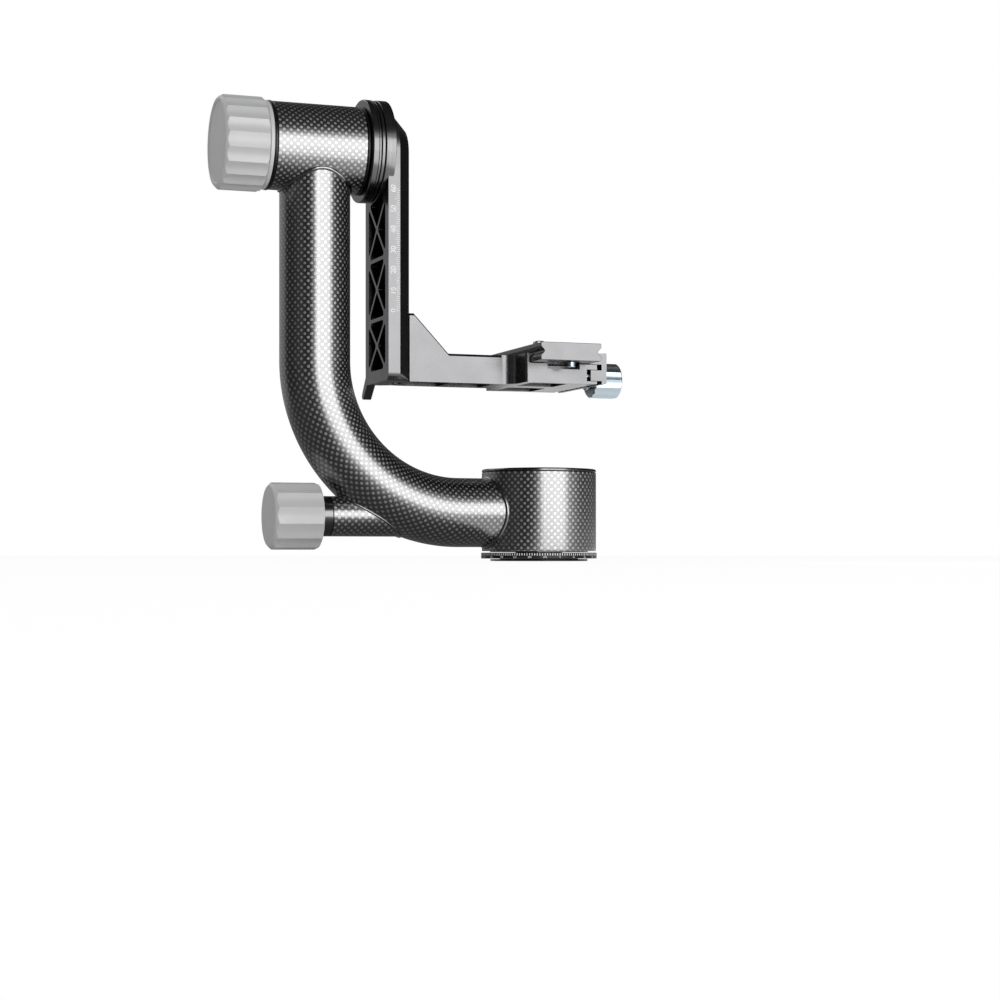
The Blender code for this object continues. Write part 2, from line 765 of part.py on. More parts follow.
def arm_path(start, end):
    """The bent tube's centre line, from a station near the pan axis to a level near the tilt axis."""
    bend = arc((bend_x, bend_z), BEND_RADIUS, -math.pi / 2, -math.pi, BEND_STEPS)
    return [(start, 0, TUBE_LEVEL), *((x, 0, z) for x, z in bend), (-ARM_REACH, 0, end)]


def make_arm():
    """The bent carbon tube, coped to the sleeve's liner and to the tilt housing."""
    start = -liner_radius / 2
    end = TILT_LEVEL - HOUSING_RADIUS / 3
    tube = pipe("arm_tube", arm_path(start, end), TUBE_RADIUS)
    combine(tube, pipe("arm_bore", arm_path(start + OVERRUN, end + OVERRUN), TUBE_RADIUS - TUBE_WALL))
    foot_cope = rod(
        "arm_foot_cope", liner_radius + FIT_GAP, 0, bend_z, steps=BIG_STEPS, centre=(0, 0, -OVERRUN)
    )
    combine(tube, foot_cope)
    head_cope = rod(
        "arm_head_cope",
        HOUSING_RADIUS + FIT_GAP,
        -ARM_REACH - TUBE_RADIUS - OVERRUN,
        -ARM_REACH + TUBE_RADIUS + OVERRUN,
        "+X",
        (0, 0, TILT_LEVEL),
        BIG_STEPS,
    )
    combine(tube, head_cope)
    screw_hole = rod(
        "arm_screw_hole", PAN_SCREW_RADIUS + FIT_GAP, collar_right, bend_x, "+X", (0, 0, lock_level)
    )
    finish(combine(tube, screw_hole), "carbon", "arm")


def make_pan_lock():
    """Stub tube beside the bend, its threaded collar, the brake shoe, and the knob on its long screw."""
    level = (0, 0, lock_level)
    outside = arm_path(-liner_radius / 2, TILT_LEVEL)
    stub_start = collar_right + FIT_GAP
    stub_end = bend_x - BEND_RADIUS / 5
    stub = ring("pan_stub", STUB_RADIUS - STUB_WALL, STUB_RADIUS, stub_start, stub_end, "+X", level)
    combine(stub, pipe("stub_cope", outside, TUBE_RADIUS + FIT_GAP))
    finish(stub, "carbon", "arm")
    bore = PAN_SCREW_RADIUS + FIT_GAP
    spigot = STUB_RADIUS - STUB_WALL - FIT_GAP
    profile = [
        (spigot, collar_right + COLLAR_SPIGOT),
        (spigot, collar_right),
        (STUB_RADIUS, collar_right),
        (STUB_RADIUS, collar_left),
        (bore, collar_left),
        (bore, collar_right + COLLAR_SPIGOT),
    ]
    finish(turned("pan_stub_collar", profile, "+X", level, MID_STEPS, closed=True), "black", "arm")
    shoe_right = -SPINDLE_RADIUS - FIT_GAP
    shoe_left = shoe_right - BRAKE_SHOE_LENGTH
    shoe = rod("pan_brake_shoe", BRAKE_SHOE_RADIUS, shoe_left, shoe_right, "+X", level, chamfer=RING_EDGE)
    finish(shoe, "brass", "pan_brake")
    grip_end = pan_knob_right - PAN_SCREW_GRIP
    blank = knob_blank(
        PAN_KNOB_RADIUS, pan_knob_left, pan_knob_right, KNOB_CHAMFER, KNOB_BACK_CHAMFER, bore, grip_end - FIT_GAP
    )
    knob = fluted(
        "pan_knob",
        blank,
        PAN_KNOB_RADIUS,
        pan_knob_left,
        pan_knob_right,
        PAN_KNOB_FLUTES,
        PAN_FLUTE_DEPTH,
        "+X",
        level,
        PAN_KNOB_TURN,
    )
    finish(knob, "grey", "pan_lock")
    screw = rod("pan_lock_screw", PAN_SCREW_RADIUS, grip_end, shoe_left - FIT_GAP, "+X", level)
    finish(screw, "steel", "pan_lock")


def make_tilt_housing():
    """Carbon housing across the arm's top, its end rings, the flanged liner, its bearings and the friction ring."""
    level = (0, 0, TILT_LEVEL)
    wall_inner = HOUSING_RADIUS - HOUSING_WALL
    ring_outer = HOUSING_RADIUS + END_RING_STEP
    housing = ring("tilt_housing", wall_inner, HOUSING_RADIUS, housing_left, housing_right, "+X", level, BIG_STEPS)
    finish(housing, "carbon", "arm")
    shaft_hole = SHAFT_THREAD_RADIUS + FIT_GAP
    left = ring("tilt_end_ring_left", shaft_hole, ring_outer, left_ring_low, left_ring_high, "+X", level, BIG_STEPS)
    finish(left, "black", "arm")
    right = ring(
        "tilt_end_ring_right", wall_inner, ring_outer, right_ring_low, right_ring_high, "+X", level, BIG_STEPS
    )
    finish(right, "black", "arm")
    seat = tilt_bore
    waist = seat - LINER_SHOULDER
    left_shoulder = housing_left + TILT_BEARING_INSET + TILT_BEARING_LENGTH + FIT_GAP
    right_shoulder = boss_left - FIT_GAP - TILT_BEARING_LENGTH - FIT_GAP
    profile = [
        (FLANGE_RADIUS - FLANGE_CHAMFER, flange_right),
        (FLANGE_RADIUS, flange_right - FLANGE_CHAMFER),
        (FLANGE_RADIUS, flange_left + FLANGE_CHAMFER),
        (FLANGE_RADIUS - FLANGE_CHAMFER, flange_left),
        (tilt_liner_radius, flange_left),
        (tilt_liner_radius, housing_left),
        (seat, housing_left),
        (seat, left_shoulder),
        (waist, left_shoulder),
        (waist, right_shoulder),
        (seat, right_shoulder),
        (seat, flange_right),
    ]
    finish(turned("tilt_flange", profile, "+X", level, BIG_STEPS, closed=True), "black", "arm")
    inner = SHAFT_RADIUS + FIT_GAP
    outer = seat - FIT_GAP
    lows = {
        "tilt_bearing_left": housing_left + TILT_BEARING_INSET,
        "tilt_bearing_right": right_shoulder + FIT_GAP,
    }
    for name, low in lows.items():
        bearing = ring(
            name, inner, outer, low, low + TILT_BEARING_LENGTH, "+X", level
        )
        finish(bearing, "steel", "arm")
    friction = ring(
        "friction_ring",
        seat,
        FLANGE_RADIUS - FRICTION_RING_STEP,
        friction_left,
        friction_right,
        "+X",
        level,
        BIG_STEPS,
    )
    finish(friction, "black", "arm")


def make_tilt_lock():
    """The thrust collar behind the tilt knob, the knob and its threaded insert."""
    level = (0, 0, TILT_LEVEL)
    hole = SHAFT_THREAD_RADIUS + FIT_GAP
    collar = ring(
        "tilt_thrust_collar", hole, THRUST_RADIUS, thrust_left, thrust_right, "+X", level, BIG_STEPS, RING_EDGE
    )
    finish(collar, "grey", "tilt_thrust")
    blank = knob_blank(
        TILT_KNOB_RADIUS,
        tilt_knob_left,
        tilt_knob_right,
        KNOB_CHAMFER,
        KNOB_BACK_CHAMFER,
        KNOB_INSERT_RADIUS + FIT_GAP,
        tilt_insert_left - FIT_GAP,
        KNOB_RECESS,
    )
    knob = fluted(
        "tilt_knob",
        blank,
        TILT_KNOB_RADIUS,
        tilt_knob_left,
        tilt_knob_right,
        TILT_KNOB_FLUTES,
        TILT_FLUTE_DEPTH,
        "+X",
        level,
        TILT_KNOB_TURN,
    )
    finish(knob, "grey", "tilt_lock")
    insert = ring("tilt_knob_insert", hole, KNOB_INSERT_RADIUS, tilt_insert_left, tilt_knob_right, "+X", level)
    finish(insert, "brass", "tilt_lock")


def make_hub():
    """The rotating hub with the swing plate's seat, its shaft and the screw that joins them."""
    level = (0, 0, TILT_LEVEL)
    boss = tilt_bore - FIT_GAP
    profile = [
        (0, hub_right),
        (FLANGE_RADIUS - FLANGE_CHAMFER, hub_right),
        (FLANGE_RADIUS, hub_right - FLANGE_CHAMFER),
        (FLANGE_RADIUS, hub_left + FLANGE_CHAMFER),
        (FLANGE_RADIUS - FLANGE_CHAMFER, hub_left),
        (boss, hub_left),
        (boss, boss_left),
        (0, boss_left),
    ]
    hub = turned("tilt_hub", profile, "+X", level, BIG_STEPS)
    seat_half = PLATE_HALF_WIDTH + FIT_GAP
    foot = TILT_LEVEL - FLANGE_RADIUS - OVERRUN
    outline = [
        (-seat_half, foot),
        (seat_half, foot),
        *arc((0, plate_top - PLATE_HALF_WIDTH), seat_half, 0, math.pi, ROUND_STEPS),
    ]
    combine(hub, prism("hub_seat", [outline], hub_floor, hub_right + OVERRUN, "YZ"))
    head_seat = hub_floor - HUB_SCREW_HEAD_LENGTH - FIT_GAP
    combine(hub, rod("hub_screw_hole", HUB_SCREW_RADIUS + FIT_GAP, boss_left - OVERRUN, hub_right, "+X", level))
    counterbore = rod(
        "hub_counterbore", HUB_SCREW_HEAD_RADIUS + FIT_GAP, head_seat - FIT_GAP, hub_right, "+X", level
    )
    combine(hub, counterbore)
    for name, screw_level in plate_screw_levels().items():
        hole = rod(
            f"hub_hole_{name}",
            PLATE_SCREW_RADIUS + FIT_GAP,
            plate_screw_end - FIT_GAP,
            hub_right,
            "+X",
            (0, 0, screw_level),
        )
        combine(hub, hole)
    finish(hub, "black", "hub")
    shaft_left = tilt_insert_left + FIT_GAP
    profile = [
        (0, shaft_right),
        (SHAFT_RADIUS, shaft_right),
        (SHAFT_RADIUS, housing_left),
        (SHAFT_THREAD_RADIUS, housing_left),
        (SHAFT_THREAD_RADIUS, shaft_left),
        (0, shaft_left),
    ]
    shaft = turned("tilt_shaft", profile, "+X", level, MID_STEPS)
    screw_end = head_seat - HUB_SCREW_GRIP - HUB_BOSS_LENGTH / 2
    thread = rod(
        "shaft_thread", HUB_SCREW_RADIUS + FIT_GAP, screw_end - FIT_GAP, shaft_right + OVERRUN, "+X", level
    )
    finish(combine(shaft, thread), "steel", "hub")
    screw = socket_screw(
        "hub_screw",
        HUB_SCREW_HEAD_RADIUS,
        HUB_SCREW_HEAD_LENGTH,
        HUB_SCREW_RADIUS,
        head_seat - screw_end,
        "+X",
        (head_seat, 0, TILT_LEVEL),
    )
    finish(screw, "steel", "hub")


def plate_screw_levels():
    """The levels of the two screws that hold the swing plate in the hub."""
    return {"lower": TILT_LEVEL - PLATE_SCREW_OFFSET, "upper": TILT_LEVEL + PLATE_SCREW_OFFSET}


def plate_section(station, half_width, corner):
    """The swing plate's outline across X at a station: a full-round top and two rounded bottom corners."""
    round_centre = plate_top - PLATE_HALF_WIDTH
    foot = plate_low + corner
    side = half_width - corner
    outline = [
        *arc((-side, foot), corner, -math.pi, -math.pi / 2, CORNER_STEPS),
        *arc((side, foot), corner, -math.pi / 2, 0, CORNER_STEPS),
        *arc((0, round_centre), half_width, 0, math.pi, ROUND_STEPS),
    ]
    return [(station, y, z) for y, z in outline]


def truss_cells():
    """The low and high level of each cell of the truss."""
    low = plate_low + TRUSS_MARGIN
    cells = [(low, low + TRUSS_FIRST_CELL)]
    for _ in range(TRUSS_CELLS - 1):
        cells.append((cells[-1][1], cells[-1][1] + TRUSS_CELL))
    return cells


def truss_pockets():
    """Four rounded triangles in each cell, shrunk about their incentres to leave ribs of equal width between."""
    half = TRUSS_HALF_WIDTH + TRUSS_RIB / 2
    pockets = []
    for low, high in truss_cells():
        centre = (0, middle(low, high))
        corners = rectangle((-half, low), (half, high))
        for i, first in enumerate(corners):
            second = corners[(i + 1) % len(corners)]
            sides = (math.dist(second, centre), math.dist(centre, first), math.dist(first, second))
            around = sum(sides)
            triangle = (first, second, centre)
            incentre = [
                sum(side * corner[k] for side, corner in zip(sides, triangle)) / around for k in range(2)
            ]
            along = (second[0] - first[0], second[1] - first[1])
            across = (centre[0] - first[0], centre[1] - first[1])
            inradius = abs(along[0] * across[1] - along[1] * across[0]) / around
            share = 1 - TRUSS_RIB / 2 / inradius
            shrunk = []
            for corner in triangle:
                shrunk.append(tuple(incentre[k] + (corner[k] - incentre[k]) * share for k in range(2)))
            pockets.append(rounded(shrunk, TRUSS_CORNER, CORNER_STEPS - 1))
    return pockets


def rail_outline(left, shoulder, right, head, neck):
    """A T across Z: a wide head on the left up to the shoulder, then a neck to the right."""
    return [
        (left, -head),
        (shoulder, -head),
        (shoulder, -neck),
        (right, -neck),
        (right, neck),
        (shoulder, neck),
        (shoulder, head),
        (left, head),
    ]


def make_swing_plate():
    """The hanging plate: truss pockets on its left face, wide chamfers and the rail slot on its right."""
    inset = PLATE_HALF_WIDTH - PLATE_CHAMFER
    sections = [
        plate_section(plate_left, PLATE_HALF_WIDTH, PLATE_CORNER),
        plate_section(plate_shoulder, PLATE_HALF_WIDTH, PLATE_CORNER),
        plate_section(plate_right, inset, PLATE_INNER_CORNER),
    ]
    plate = lofted("swing_plate", sections)
    pockets = prism("truss_pockets", truss_pockets(), plate_left - OVERRUN, pocket_floor, "YZ")
    combine(plate, pockets)
    slot = rail_outline(rail_floor, rail_shoulder, plate_right + OVERRUN, RAIL_HALF_HEAD, RAIL_HALF_NECK)
    combine(plate, prism("plate_rail", [slot], plate_low - OVERRUN, rail_top, "XY"))
    for name, screw_level in plate_screw_levels().items():
        centre = (0, 0, screw_level)
        shank = PLATE_SCREW_RADIUS + FIT_GAP
        hole = rod(f"plate_hole_{name}", shank, plate_left - OVERRUN, plate_right, "+X", centre)
        combine(plate, hole)
        seat = plate_screw_seat - FIT_GAP
        head = PLATE_SCREW_HEAD_RADIUS + FIT_GAP
        combine(plate, rod(f"plate_counterbore_{name}", head, seat, plate_right + OVERRUN, "+X", centre))
        screw = socket_screw(
            f"plate_screw_{name}",
            PLATE_SCREW_HEAD_RADIUS,
            PLATE_SCREW_HEAD_LENGTH,
            PLATE_SCREW_RADIUS,
            plate_screw_seat - plate_screw_end,
            "+X",
            (plate_screw_seat, 0, screw_level),
        )
        finish(screw, "black", "hub")
    finish(plate, "dark", "hub")


def make_lever():
    """The platform's lock lever and its pin; at rest it hangs outwards and down."""
    tip = (lever_y + LEVER_LENGTH * math.cos(LEVER_ANGLE), lever_z + LEVER_LENGTH * math.sin(LEVER_ANGLE))
    spread = math.acos((LEVER_EYE_RADIUS - LEVER_HALF_THICKNESS) / LEVER_LENGTH)
    start = LEVER_ANGLE + spread
    end = LEVER_ANGLE - spread
    eye_arc = arc((lever_y, lever_z), LEVER_EYE_RADIUS, start, end + 2 * math.pi, MID_STEPS)
    tip_arc = arc(tip, LEVER_HALF_THICKNESS, end, start, SMALL_STEPS)
    half = LEVER_WIDTH / 2
    lever = prism("foot_lever", [eye_arc + tip_arc], lever_x - half, lever_x + half, "YZ")
    level = (0, lever_y, lever_z)
    bore = LEVER_PIN_RADIUS + FIT_GAP
    hole = rod("lever_eye", bore, lever_x - half - OVERRUN, lever_x + half + OVERRUN, "+X", level)
    finish(combine(lever, hole), "grey", "lever")
    pin = rod("lever_pin", LEVER_PIN_RADIUS, lever_x - half, cheek_left + LEVER_PIN_GRIP, "+X", level)
    finish(pin, "steel", "carriage")


def clamp_profile():
    """The clamp block across Y: floor, fixed jaw with its dovetail nose, and the tongue's slot."""
    flank = FIT_GAP + NOSE_BACKSET / 2
    wall = quick_x - QUICK_HALF_WIDTH - FIT_GAP
    nose = wall + DOVETAIL_DEPTH
    nose_low = quick_low + DOVETAIL_FOOT + flank
    return [
        (clamp_left, plate_low),
        (clamp_right, plate_low),
        (clamp_right, slot_low),
        (slot_left, slot_low),
        (slot_left, slot_high),
        (clamp_right, slot_high),
        (clamp_right, floor_top),
        (wall, floor_top),
        (wall, nose_low),
        (nose, nose_low + DOVETAIL_DEPTH),
        (nose, arm_top),
        (clamp_left, arm_top),
    ]


def make_platform():
    """The platform: arm, gusset, runner, lock ear and clamp block in one piece, pocketed underneath."""
    arm_end = clamp_left + FIXED_JAW / 2
    gusset_end = platform_left + GUSSET_TOP
    outline = [
        (platform_left, plate_low),
        (arm_end, plate_low),
        (arm_end, arm_top),
        (gusset_end + GUSSET_RUN, arm_top),
        (gusset_end, gusset_top),
        (platform_left, gusset_top),
    ]
    rims = []
    chamfered = [(x, z - ARM_BEVEL if z > plate_low else z) for x, z in outline]
    for y, section in (
        (-ARM_HALF_WIDTH, chamfered),
        (-ARM_HALF_WIDTH + ARM_BEVEL, outline),
        (ARM_HALF_WIDTH - ARM_BEVEL, outline),
        (ARM_HALF_WIDTH, chamfered),
    ):
        rims.append([(x, y, z) for x, z in section])
    platform = lofted("platform", rims)

    fillet_x = clamp_left - FILLET_RADIUS
    fillet_y = ARM_HALF_WIDTH + FILLET_RADIUS
    far = clamp_right + OVERRUN
    half = CLAMP_HALF_LENGTH
    near_fillet = arc((fillet_x, -fillet_y), FILLET_RADIUS, math.pi / 2, 0, CORNER_STEPS * 2)
    far_fillet = arc((fillet_x, fillet_y), FILLET_RADIUS, 0, -math.pi / 2, CORNER_STEPS * 2)
    near_corner = arc(
        (clamp_left + CLAMP_CORNER, CLAMP_CORNER - half), CLAMP_CORNER, math.pi, math.pi * 3 / 2, CORNER_STEPS
    )
    far_corner = arc(
        (clamp_left + CLAMP_CORNER, half - CLAMP_CORNER), CLAMP_CORNER, math.pi / 2, math.pi, CORNER_STEPS
    )
    plan = [*near_fillet, *near_corner, (far, -half), (far, half), *far_corner, *far_fillet]
    block = prism("clamp_block", [plan], plate_low - OVERRUN, arm_top + OVERRUN, "XY")
    profile = clamp_profile()
    profile[0] = (fillet_x - OVERRUN, plate_low)
    profile[-1] = (fillet_x - OVERRUN, arm_top)
    across = prism("clamp_across", [profile], -half - OVERRUN, half + OVERRUN, "XZ")
    combine(block, across, "INTERSECT")
    combine(platform, block, "UNION")
    runner = rail_outline(
        rail_floor + FIT_GAP,
        rail_shoulder - FIT_GAP,
        platform_left + GUSSET_TOP / 2,
        RAIL_HALF_HEAD - FIT_GAP,
        RAIL_HALF_NECK - FIT_GAP,
    )
    low, high = plate_low + RUNNER_INSET, gusset_top - RUNNER_INSET
    combine(platform, prism("runner", [runner], low, high, "XY"), "UNION")
    inner = ARM_HALF_WIDTH - ARM_BEVEL * 2
    ear_right = platform_left + LOCK_EAR_LENGTH
    ear = [
        (platform_left, inner),
        (ear_right, inner),
        (ear_right, cheek_far),
        (cheek_left, cheek_far),
        (cheek_left, cheek_near),
        (platform_left, cheek_near),
    ]
    combine(platform, prism("lock_ear", [ear], ear_low, ear_top, "XY"), "UNION")
    cut_platform(platform)
    finish(platform, "dark", "carriage")


def cut_platform(platform):
    """The platform's notch ends, underside pockets and the holes for its screws and pins."""
    half = CLAMP_HALF_LENGTH
    notch_low = floor_top - NOTCH_DEPTH
    ends = {"near": (-half - OVERRUN, -half + NOTCH_LENGTH), "far": (half - NOTCH_LENGTH, half + OVERRUN)}
    for side, (low, high) in ends.items():
        notch = box(
            f"notch_{side}",
            (notch_x - NOTCH_HALF_WIDTH, low, notch_low),
            (notch_x + NOTCH_HALF_WIDTH, high, floor_top + OVERRUN),
        )
        combine(platform, notch)
    outlines = []
    arm_room = ARM_LENGTH - ARM_POCKET_MARGIN
    pitch = arm_room / ARM_POCKETS
    side = ARM_HALF_WIDTH - ARM_POCKET_MARGIN
    for i in range(ARM_POCKETS):
        start = platform_left + ARM_POCKET_MARGIN + pitch * i
        corners = rectangle((start, -side), (start + pitch - ARM_POCKET_MARGIN, side))
        outlines.append(rounded(corners, POCKET_CORNER))
    pockets = prism("arm_pockets", outlines, plate_low - OVERRUN, plate_low + ARM_POCKET_DEPTH, "XY")
    combine(platform, pockets)
    outlines = []
    inner = CLAMP_SCREW_RADIUS + CLAMP_POCKET_MARGIN / 2
    outer = half - CLAMP_POCKET_MARGIN
    centre = clamp_left + CLAMP_POCKET_MARGIN + CLAMP_POCKET_HALF_LENGTH
    for low, high in ((-outer, -inner), (inner, outer)):
        corners = rectangle((centre - CLAMP_POCKET_HALF_LENGTH, low), (centre + CLAMP_POCKET_HALF_LENGTH, high))
        outlines.append(rounded(corners, POCKET_CORNER))
    pockets = prism("clamp_pockets", outlines, plate_low - OVERRUN, plate_low + CLAMP_POCKET_DEPTH, "XY")
    combine(platform, pockets)
    pin_bore = LEVER_PIN_RADIUS + FIT_GAP
    pin_right = cheek_left + LEVER_PIN_GRIP + FIT_GAP
    combine(platform, rod("cheek_hole", pin_bore, cheek_left - OVERRUN, pin_right, "+X", (0, lever_y, lever_z)))
    screw_end = slot_left - CLAMP_SCREW_GRIP - FIT_GAP
    bore = rod(
        "clamp_bore", CLAMP_SCREW_RADIUS + FIT_GAP, screw_end, clamp_right + OVERRUN, "+X", (0, 0, clamp_level)
    )
    combine(platform, bore)
    for name, y in guide_pin_sides().items():
        pin_end = slot_left - GUIDE_PIN_GRIP - FIT_GAP
        hole = rod(
            f"guide_hole_{name}",
            GUIDE_PIN_RADIUS + FIT_GAP,
            pin_end,
            slot_left + OVERRUN,
            "+X",
            (0, y, clamp_level),
        )
        combine(platform, hole)


def guide_pin_sides():
    """Where the jaw's two guide pins stand along Y."""
    reach = CLAMP_HALF_LENGTH - GUIDE_PIN_INSET
    return {"front": -reach, "rear": reach}


def make_guide_pins():
    """The jaw's two guide pins, fixed in the clamp block."""
    for name, y in guide_pin_sides().items():
        pin = rod(
            f"guide_pin_{name}",
            GUIDE_PIN_RADIUS,
            slot_left - GUIDE_PIN_GRIP,
            tongue_left + GUIDE_PIN_REACH,
            "+X",
            (0, y, clamp_level),
        )
        finish(pin, "steel", "carriage")


def make_jaw():
    """The moving jaw: outer plate, tongue in the slot, and a bridge with the dovetail nose."""
    flank = FIT_GAP + NOSE_BACKSET / 2
    wall = quick_x + QUICK_HALF_WIDTH + FIT_GAP
    nose = wall - DOVETAIL_DEPTH
    nose_low = quick_low + DOVETAIL_FOOT + flank
    jaw_top = arm_top + JAW_RISE
    profile = [
        (tongue_left, slot_low + FIT_GAP),
        (jaw_left, slot_low + FIT_GAP),
        (jaw_left, plate_low),
        (jaw_right, plate_low),
        (jaw_right, jaw_top),
        (wall, jaw_top - QUICK_CORNER),
        (nose, arm_top),
        (nose, nose_low + DOVETAIL_DEPTH),
        (wall, nose_low),
        (wall, floor_top + FIT_GAP),
        (jaw_left, floor_top + FIT_GAP),
        (jaw_left, slot_high - FIT_GAP),
        (tongue_left, slot_high - FIT_GAP),
    ]
    radii = [0] * len(profile)
    radii[3] = radii[4] = JAW_CORNER
    half = CLAMP_HALF_LENGTH
    jaw = prism("clamp_jaw", [rounded(profile, radii)], -half, half, "XZ")
    bore = rod(
        "jaw_bore",
        CLAMP_SCREW_RADIUS + FIT_GAP,
        tongue_left - OVERRUN,
        jaw_right + OVERRUN,
        "+X",
        (0, 0, clamp_level),
    )
    combine(jaw, bore)
    for name, y in guide_pin_sides().items():
        hole = rod(
            f"jaw_guide_{name}",
            GUIDE_PIN_RADIUS + FIT_GAP,
            tongue_left - OVERRUN,
            tongue_left + GUIDE_PIN_REACH + FIT_GAP,
            "+X",
            (0, y, clamp_level),
        )
        combine(jaw, hole)
    finish(jaw, "dark", "jaw")


def make_clamp_lock():
    """The clamp's screw, its washer and the polished fluted knob."""
    level = (0, 0, clamp_level)
    knob_right = clamp_knob_left + CLAMP_KNOB_LENGTH
    screw_left = slot_left - CLAMP_SCREW_GRIP
    screw_right = clamp_knob_left + CLAMP_KNOB_GRIP
    finish(rod("clamp_screw", CLAMP_SCREW_RADIUS, screw_left, screw_right, "+X", level), "steel", "clamp_lock")
    bore = CLAMP_SCREW_RADIUS + FIT_GAP
    washer_right = washer_left + CLAMP_WASHER_LENGTH
    washer = ring("clamp_washer", bore, CLAMP_WASHER_RADIUS, washer_left, washer_right, "+X", level, SMALL_STEPS)
    finish(washer, "steel", "clamp_lock")
    rim = CLAMP_KNOB_RADIUS - SMALL_KNOB_CHAMFER
    past = CLAMP_KNOB_RADIUS + OVERRUN
    step = SMALL_KNOB_CHAMFER + OVERRUN
    blank = [
        (0, knob_right),
        (rim, knob_right),
        (past, knob_right - step),
        (past, clamp_knob_left + step),
        (rim, clamp_knob_left),
        (bore, clamp_knob_left),
        (bore, screw_right + FIT_GAP),
        (0, screw_right + FIT_GAP),
    ]
    knob = fluted(
        "clamp_knob",
        blank,
        CLAMP_KNOB_RADIUS,
        clamp_knob_left,
        knob_right,
        CLAMP_KNOB_FLUTES,
        CLAMP_FLUTE_DEPTH,
        "+X",
        level,
    )
    finish(knob, "silver", "clamp_lock")


def slot_outline(half_width, half_length):
    """A slot along Y with round ends, centred on the quick plate."""
    straight = half_length - half_width
    ends = (0, math.pi), (math.pi, 2 * math.pi)
    far = arc((quick_x, straight), half_width, *ends[0], CORNER_STEPS * 2)
    near = arc((quick_x, -straight), half_width, *ends[1], CORNER_STEPS * 2)
    return far + near


def quick_profile():
    """The quick plate across Y: a dovetail foot, a neck and a wide top."""
    half = QUICK_HALF_WIDTH
    neck = half - DOVETAIL_DEPTH
    right = [
        (half, quick_low),
        (half, quick_low + DOVETAIL_FOOT),
        (neck, neck_low),
        (neck, neck_high),
        (half, neck_high + DOVETAIL_DEPTH),
        (half, quick_top),
    ]
    points = right + [(-x, z) for x, z in reversed(right)]
    return [(quick_x + x, z) for x, z in points]


def make_quick_plate():
    """The quick plate with its screw slot, the two rubber pads and the stop screws under its ends."""
    half = QUICK_HALF_LENGTH
    profile = quick_profile()
    radii = [QUICK_CORNER] + [0] * (len(profile) - 2) + [QUICK_CORNER]
    radii[len(profile) // 2 - 1] = radii[len(profile) // 2] = QUICK_CORNER
    plate = prism("quick_plate", [rounded(profile, radii)], -half, half, "XZ")
    screw_slot = slot_outline(SCREW_SLOT_HALF_WIDTH, SCREW_SLOT_HALF_LENGTH)
    combine(plate, prism("screw_slot", [screw_slot], quick_low, quick_top + OVERRUN, "XY"))
    head_slot = slot_outline(HEAD_SLOT_HALF_WIDTH, HEAD_SLOT_HALF_LENGTH)
    combine(plate, prism("head_slot", [head_slot], quick_low - OVERRUN, quick_low + HEAD_SLOT_DEPTH, "XY"))
    pad_far = half - PAD_MARGIN
    pad_near = pad_far - PAD_LENGTH
    pad_floor = quick_top - PAD_RECESS
    for name, (low, high) in {"front": (-pad_far, -pad_near), "rear": (pad_near, pad_far)}.items():
        seat_corners = rectangle((quick_x - PAD_HALF_WIDTH, low), (quick_x + PAD_HALF_WIDTH, high))
        seat = rounded(seat_corners, PAD_CORNER)
        combine(plate, prism(f"pad_seat_{name}", [seat], pad_floor, quick_top + OVERRUN, "XY"))
        inset = PAD_HALF_WIDTH - FIT_GAP
        corners = rectangle((quick_x - inset, low + FIT_GAP), (quick_x + inset, high - FIT_GAP))
        pad_low = pad_floor + FIT_GAP
        pad = prism(
            f"grip_pad_{name}", [rounded(corners, PAD_CORNER - FIT_GAP)], pad_low, pad_low + PAD_THICKNESS, "XY"
        )
        finish(pad, "rubber", "quick")
    reach = half - STOP_INSET
    seat_level = quick_low - FIT_GAP
    for name, y in {"front": -reach, "rear": reach}.items():
        top = seat_level + STOP_SHANK_LENGTH
        centre = (notch_x, y, 0)
        hole = rod(f"stop_hole_{name}", STOP_SHANK_RADIUS + FIT_GAP, quick_low - OVERRUN, top + FIT_GAP, "+Z", centre)
        combine(plate, hole)
        head = [
            (0, top),
            (STOP_SHANK_RADIUS, top),
            (STOP_SHANK_RADIUS, seat_level),
            (STOP_HEAD_RADIUS, seat_level),
            (STOP_HEAD_RADIUS, seat_level - STOP_HEAD_LENGTH + KNOB_RECESS),
            (STOP_HEAD_RADIUS - KNOB_RECESS, seat_level - STOP_HEAD_LENGTH),
            (0, seat_level - STOP_HEAD_LENGTH),
        ]
        finish(turned(f"stop_screw_{name}", head, "+Z", centre, SMALL_STEPS), "silver", "quick")
    finish(plate, "grey", "quick")


def make_camera_screw():
    """The camera screw, held in the quick plate's slot under a washer that slides with it."""
    centre = (quick_x, 0, 0)
    washer_top = quick_low + HEAD_SLOT_DEPTH - FIT_GAP
    washer_low = washer_top - CAMERA_WASHER_LENGTH
    bore = CAMERA_SCREW_RADIUS + FIT_GAP
    washer = ring("camera_washer", bore, CAMERA_HEAD_RADIUS, washer_low, washer_top, "+Z", centre, SMALL_STEPS)
    finish(washer, "steel", "camera_clip")
    head_top = washer_low - FIT_GAP
    profile = [
        (0, quick_top + CAMERA_SCREW_RISE),
        (CAMERA_SCREW_RADIUS - KNOB_RECESS, quick_top + CAMERA_SCREW_RISE),
        (CAMERA_SCREW_RADIUS, quick_top + CAMERA_SCREW_RISE - KNOB_RECESS),
        (CAMERA_SCREW_RADIUS, head_top),
        (CAMERA_HEAD_RADIUS, head_top),
        (CAMERA_HEAD_RADIUS, head_top - CAMERA_HEAD_LENGTH),
        (0, head_top - CAMERA_HEAD_LENGTH),
    ]
    finish(turned("camera_screw", profile, "+Z", centre, SMALL_STEPS), "steel", "camera_screw")


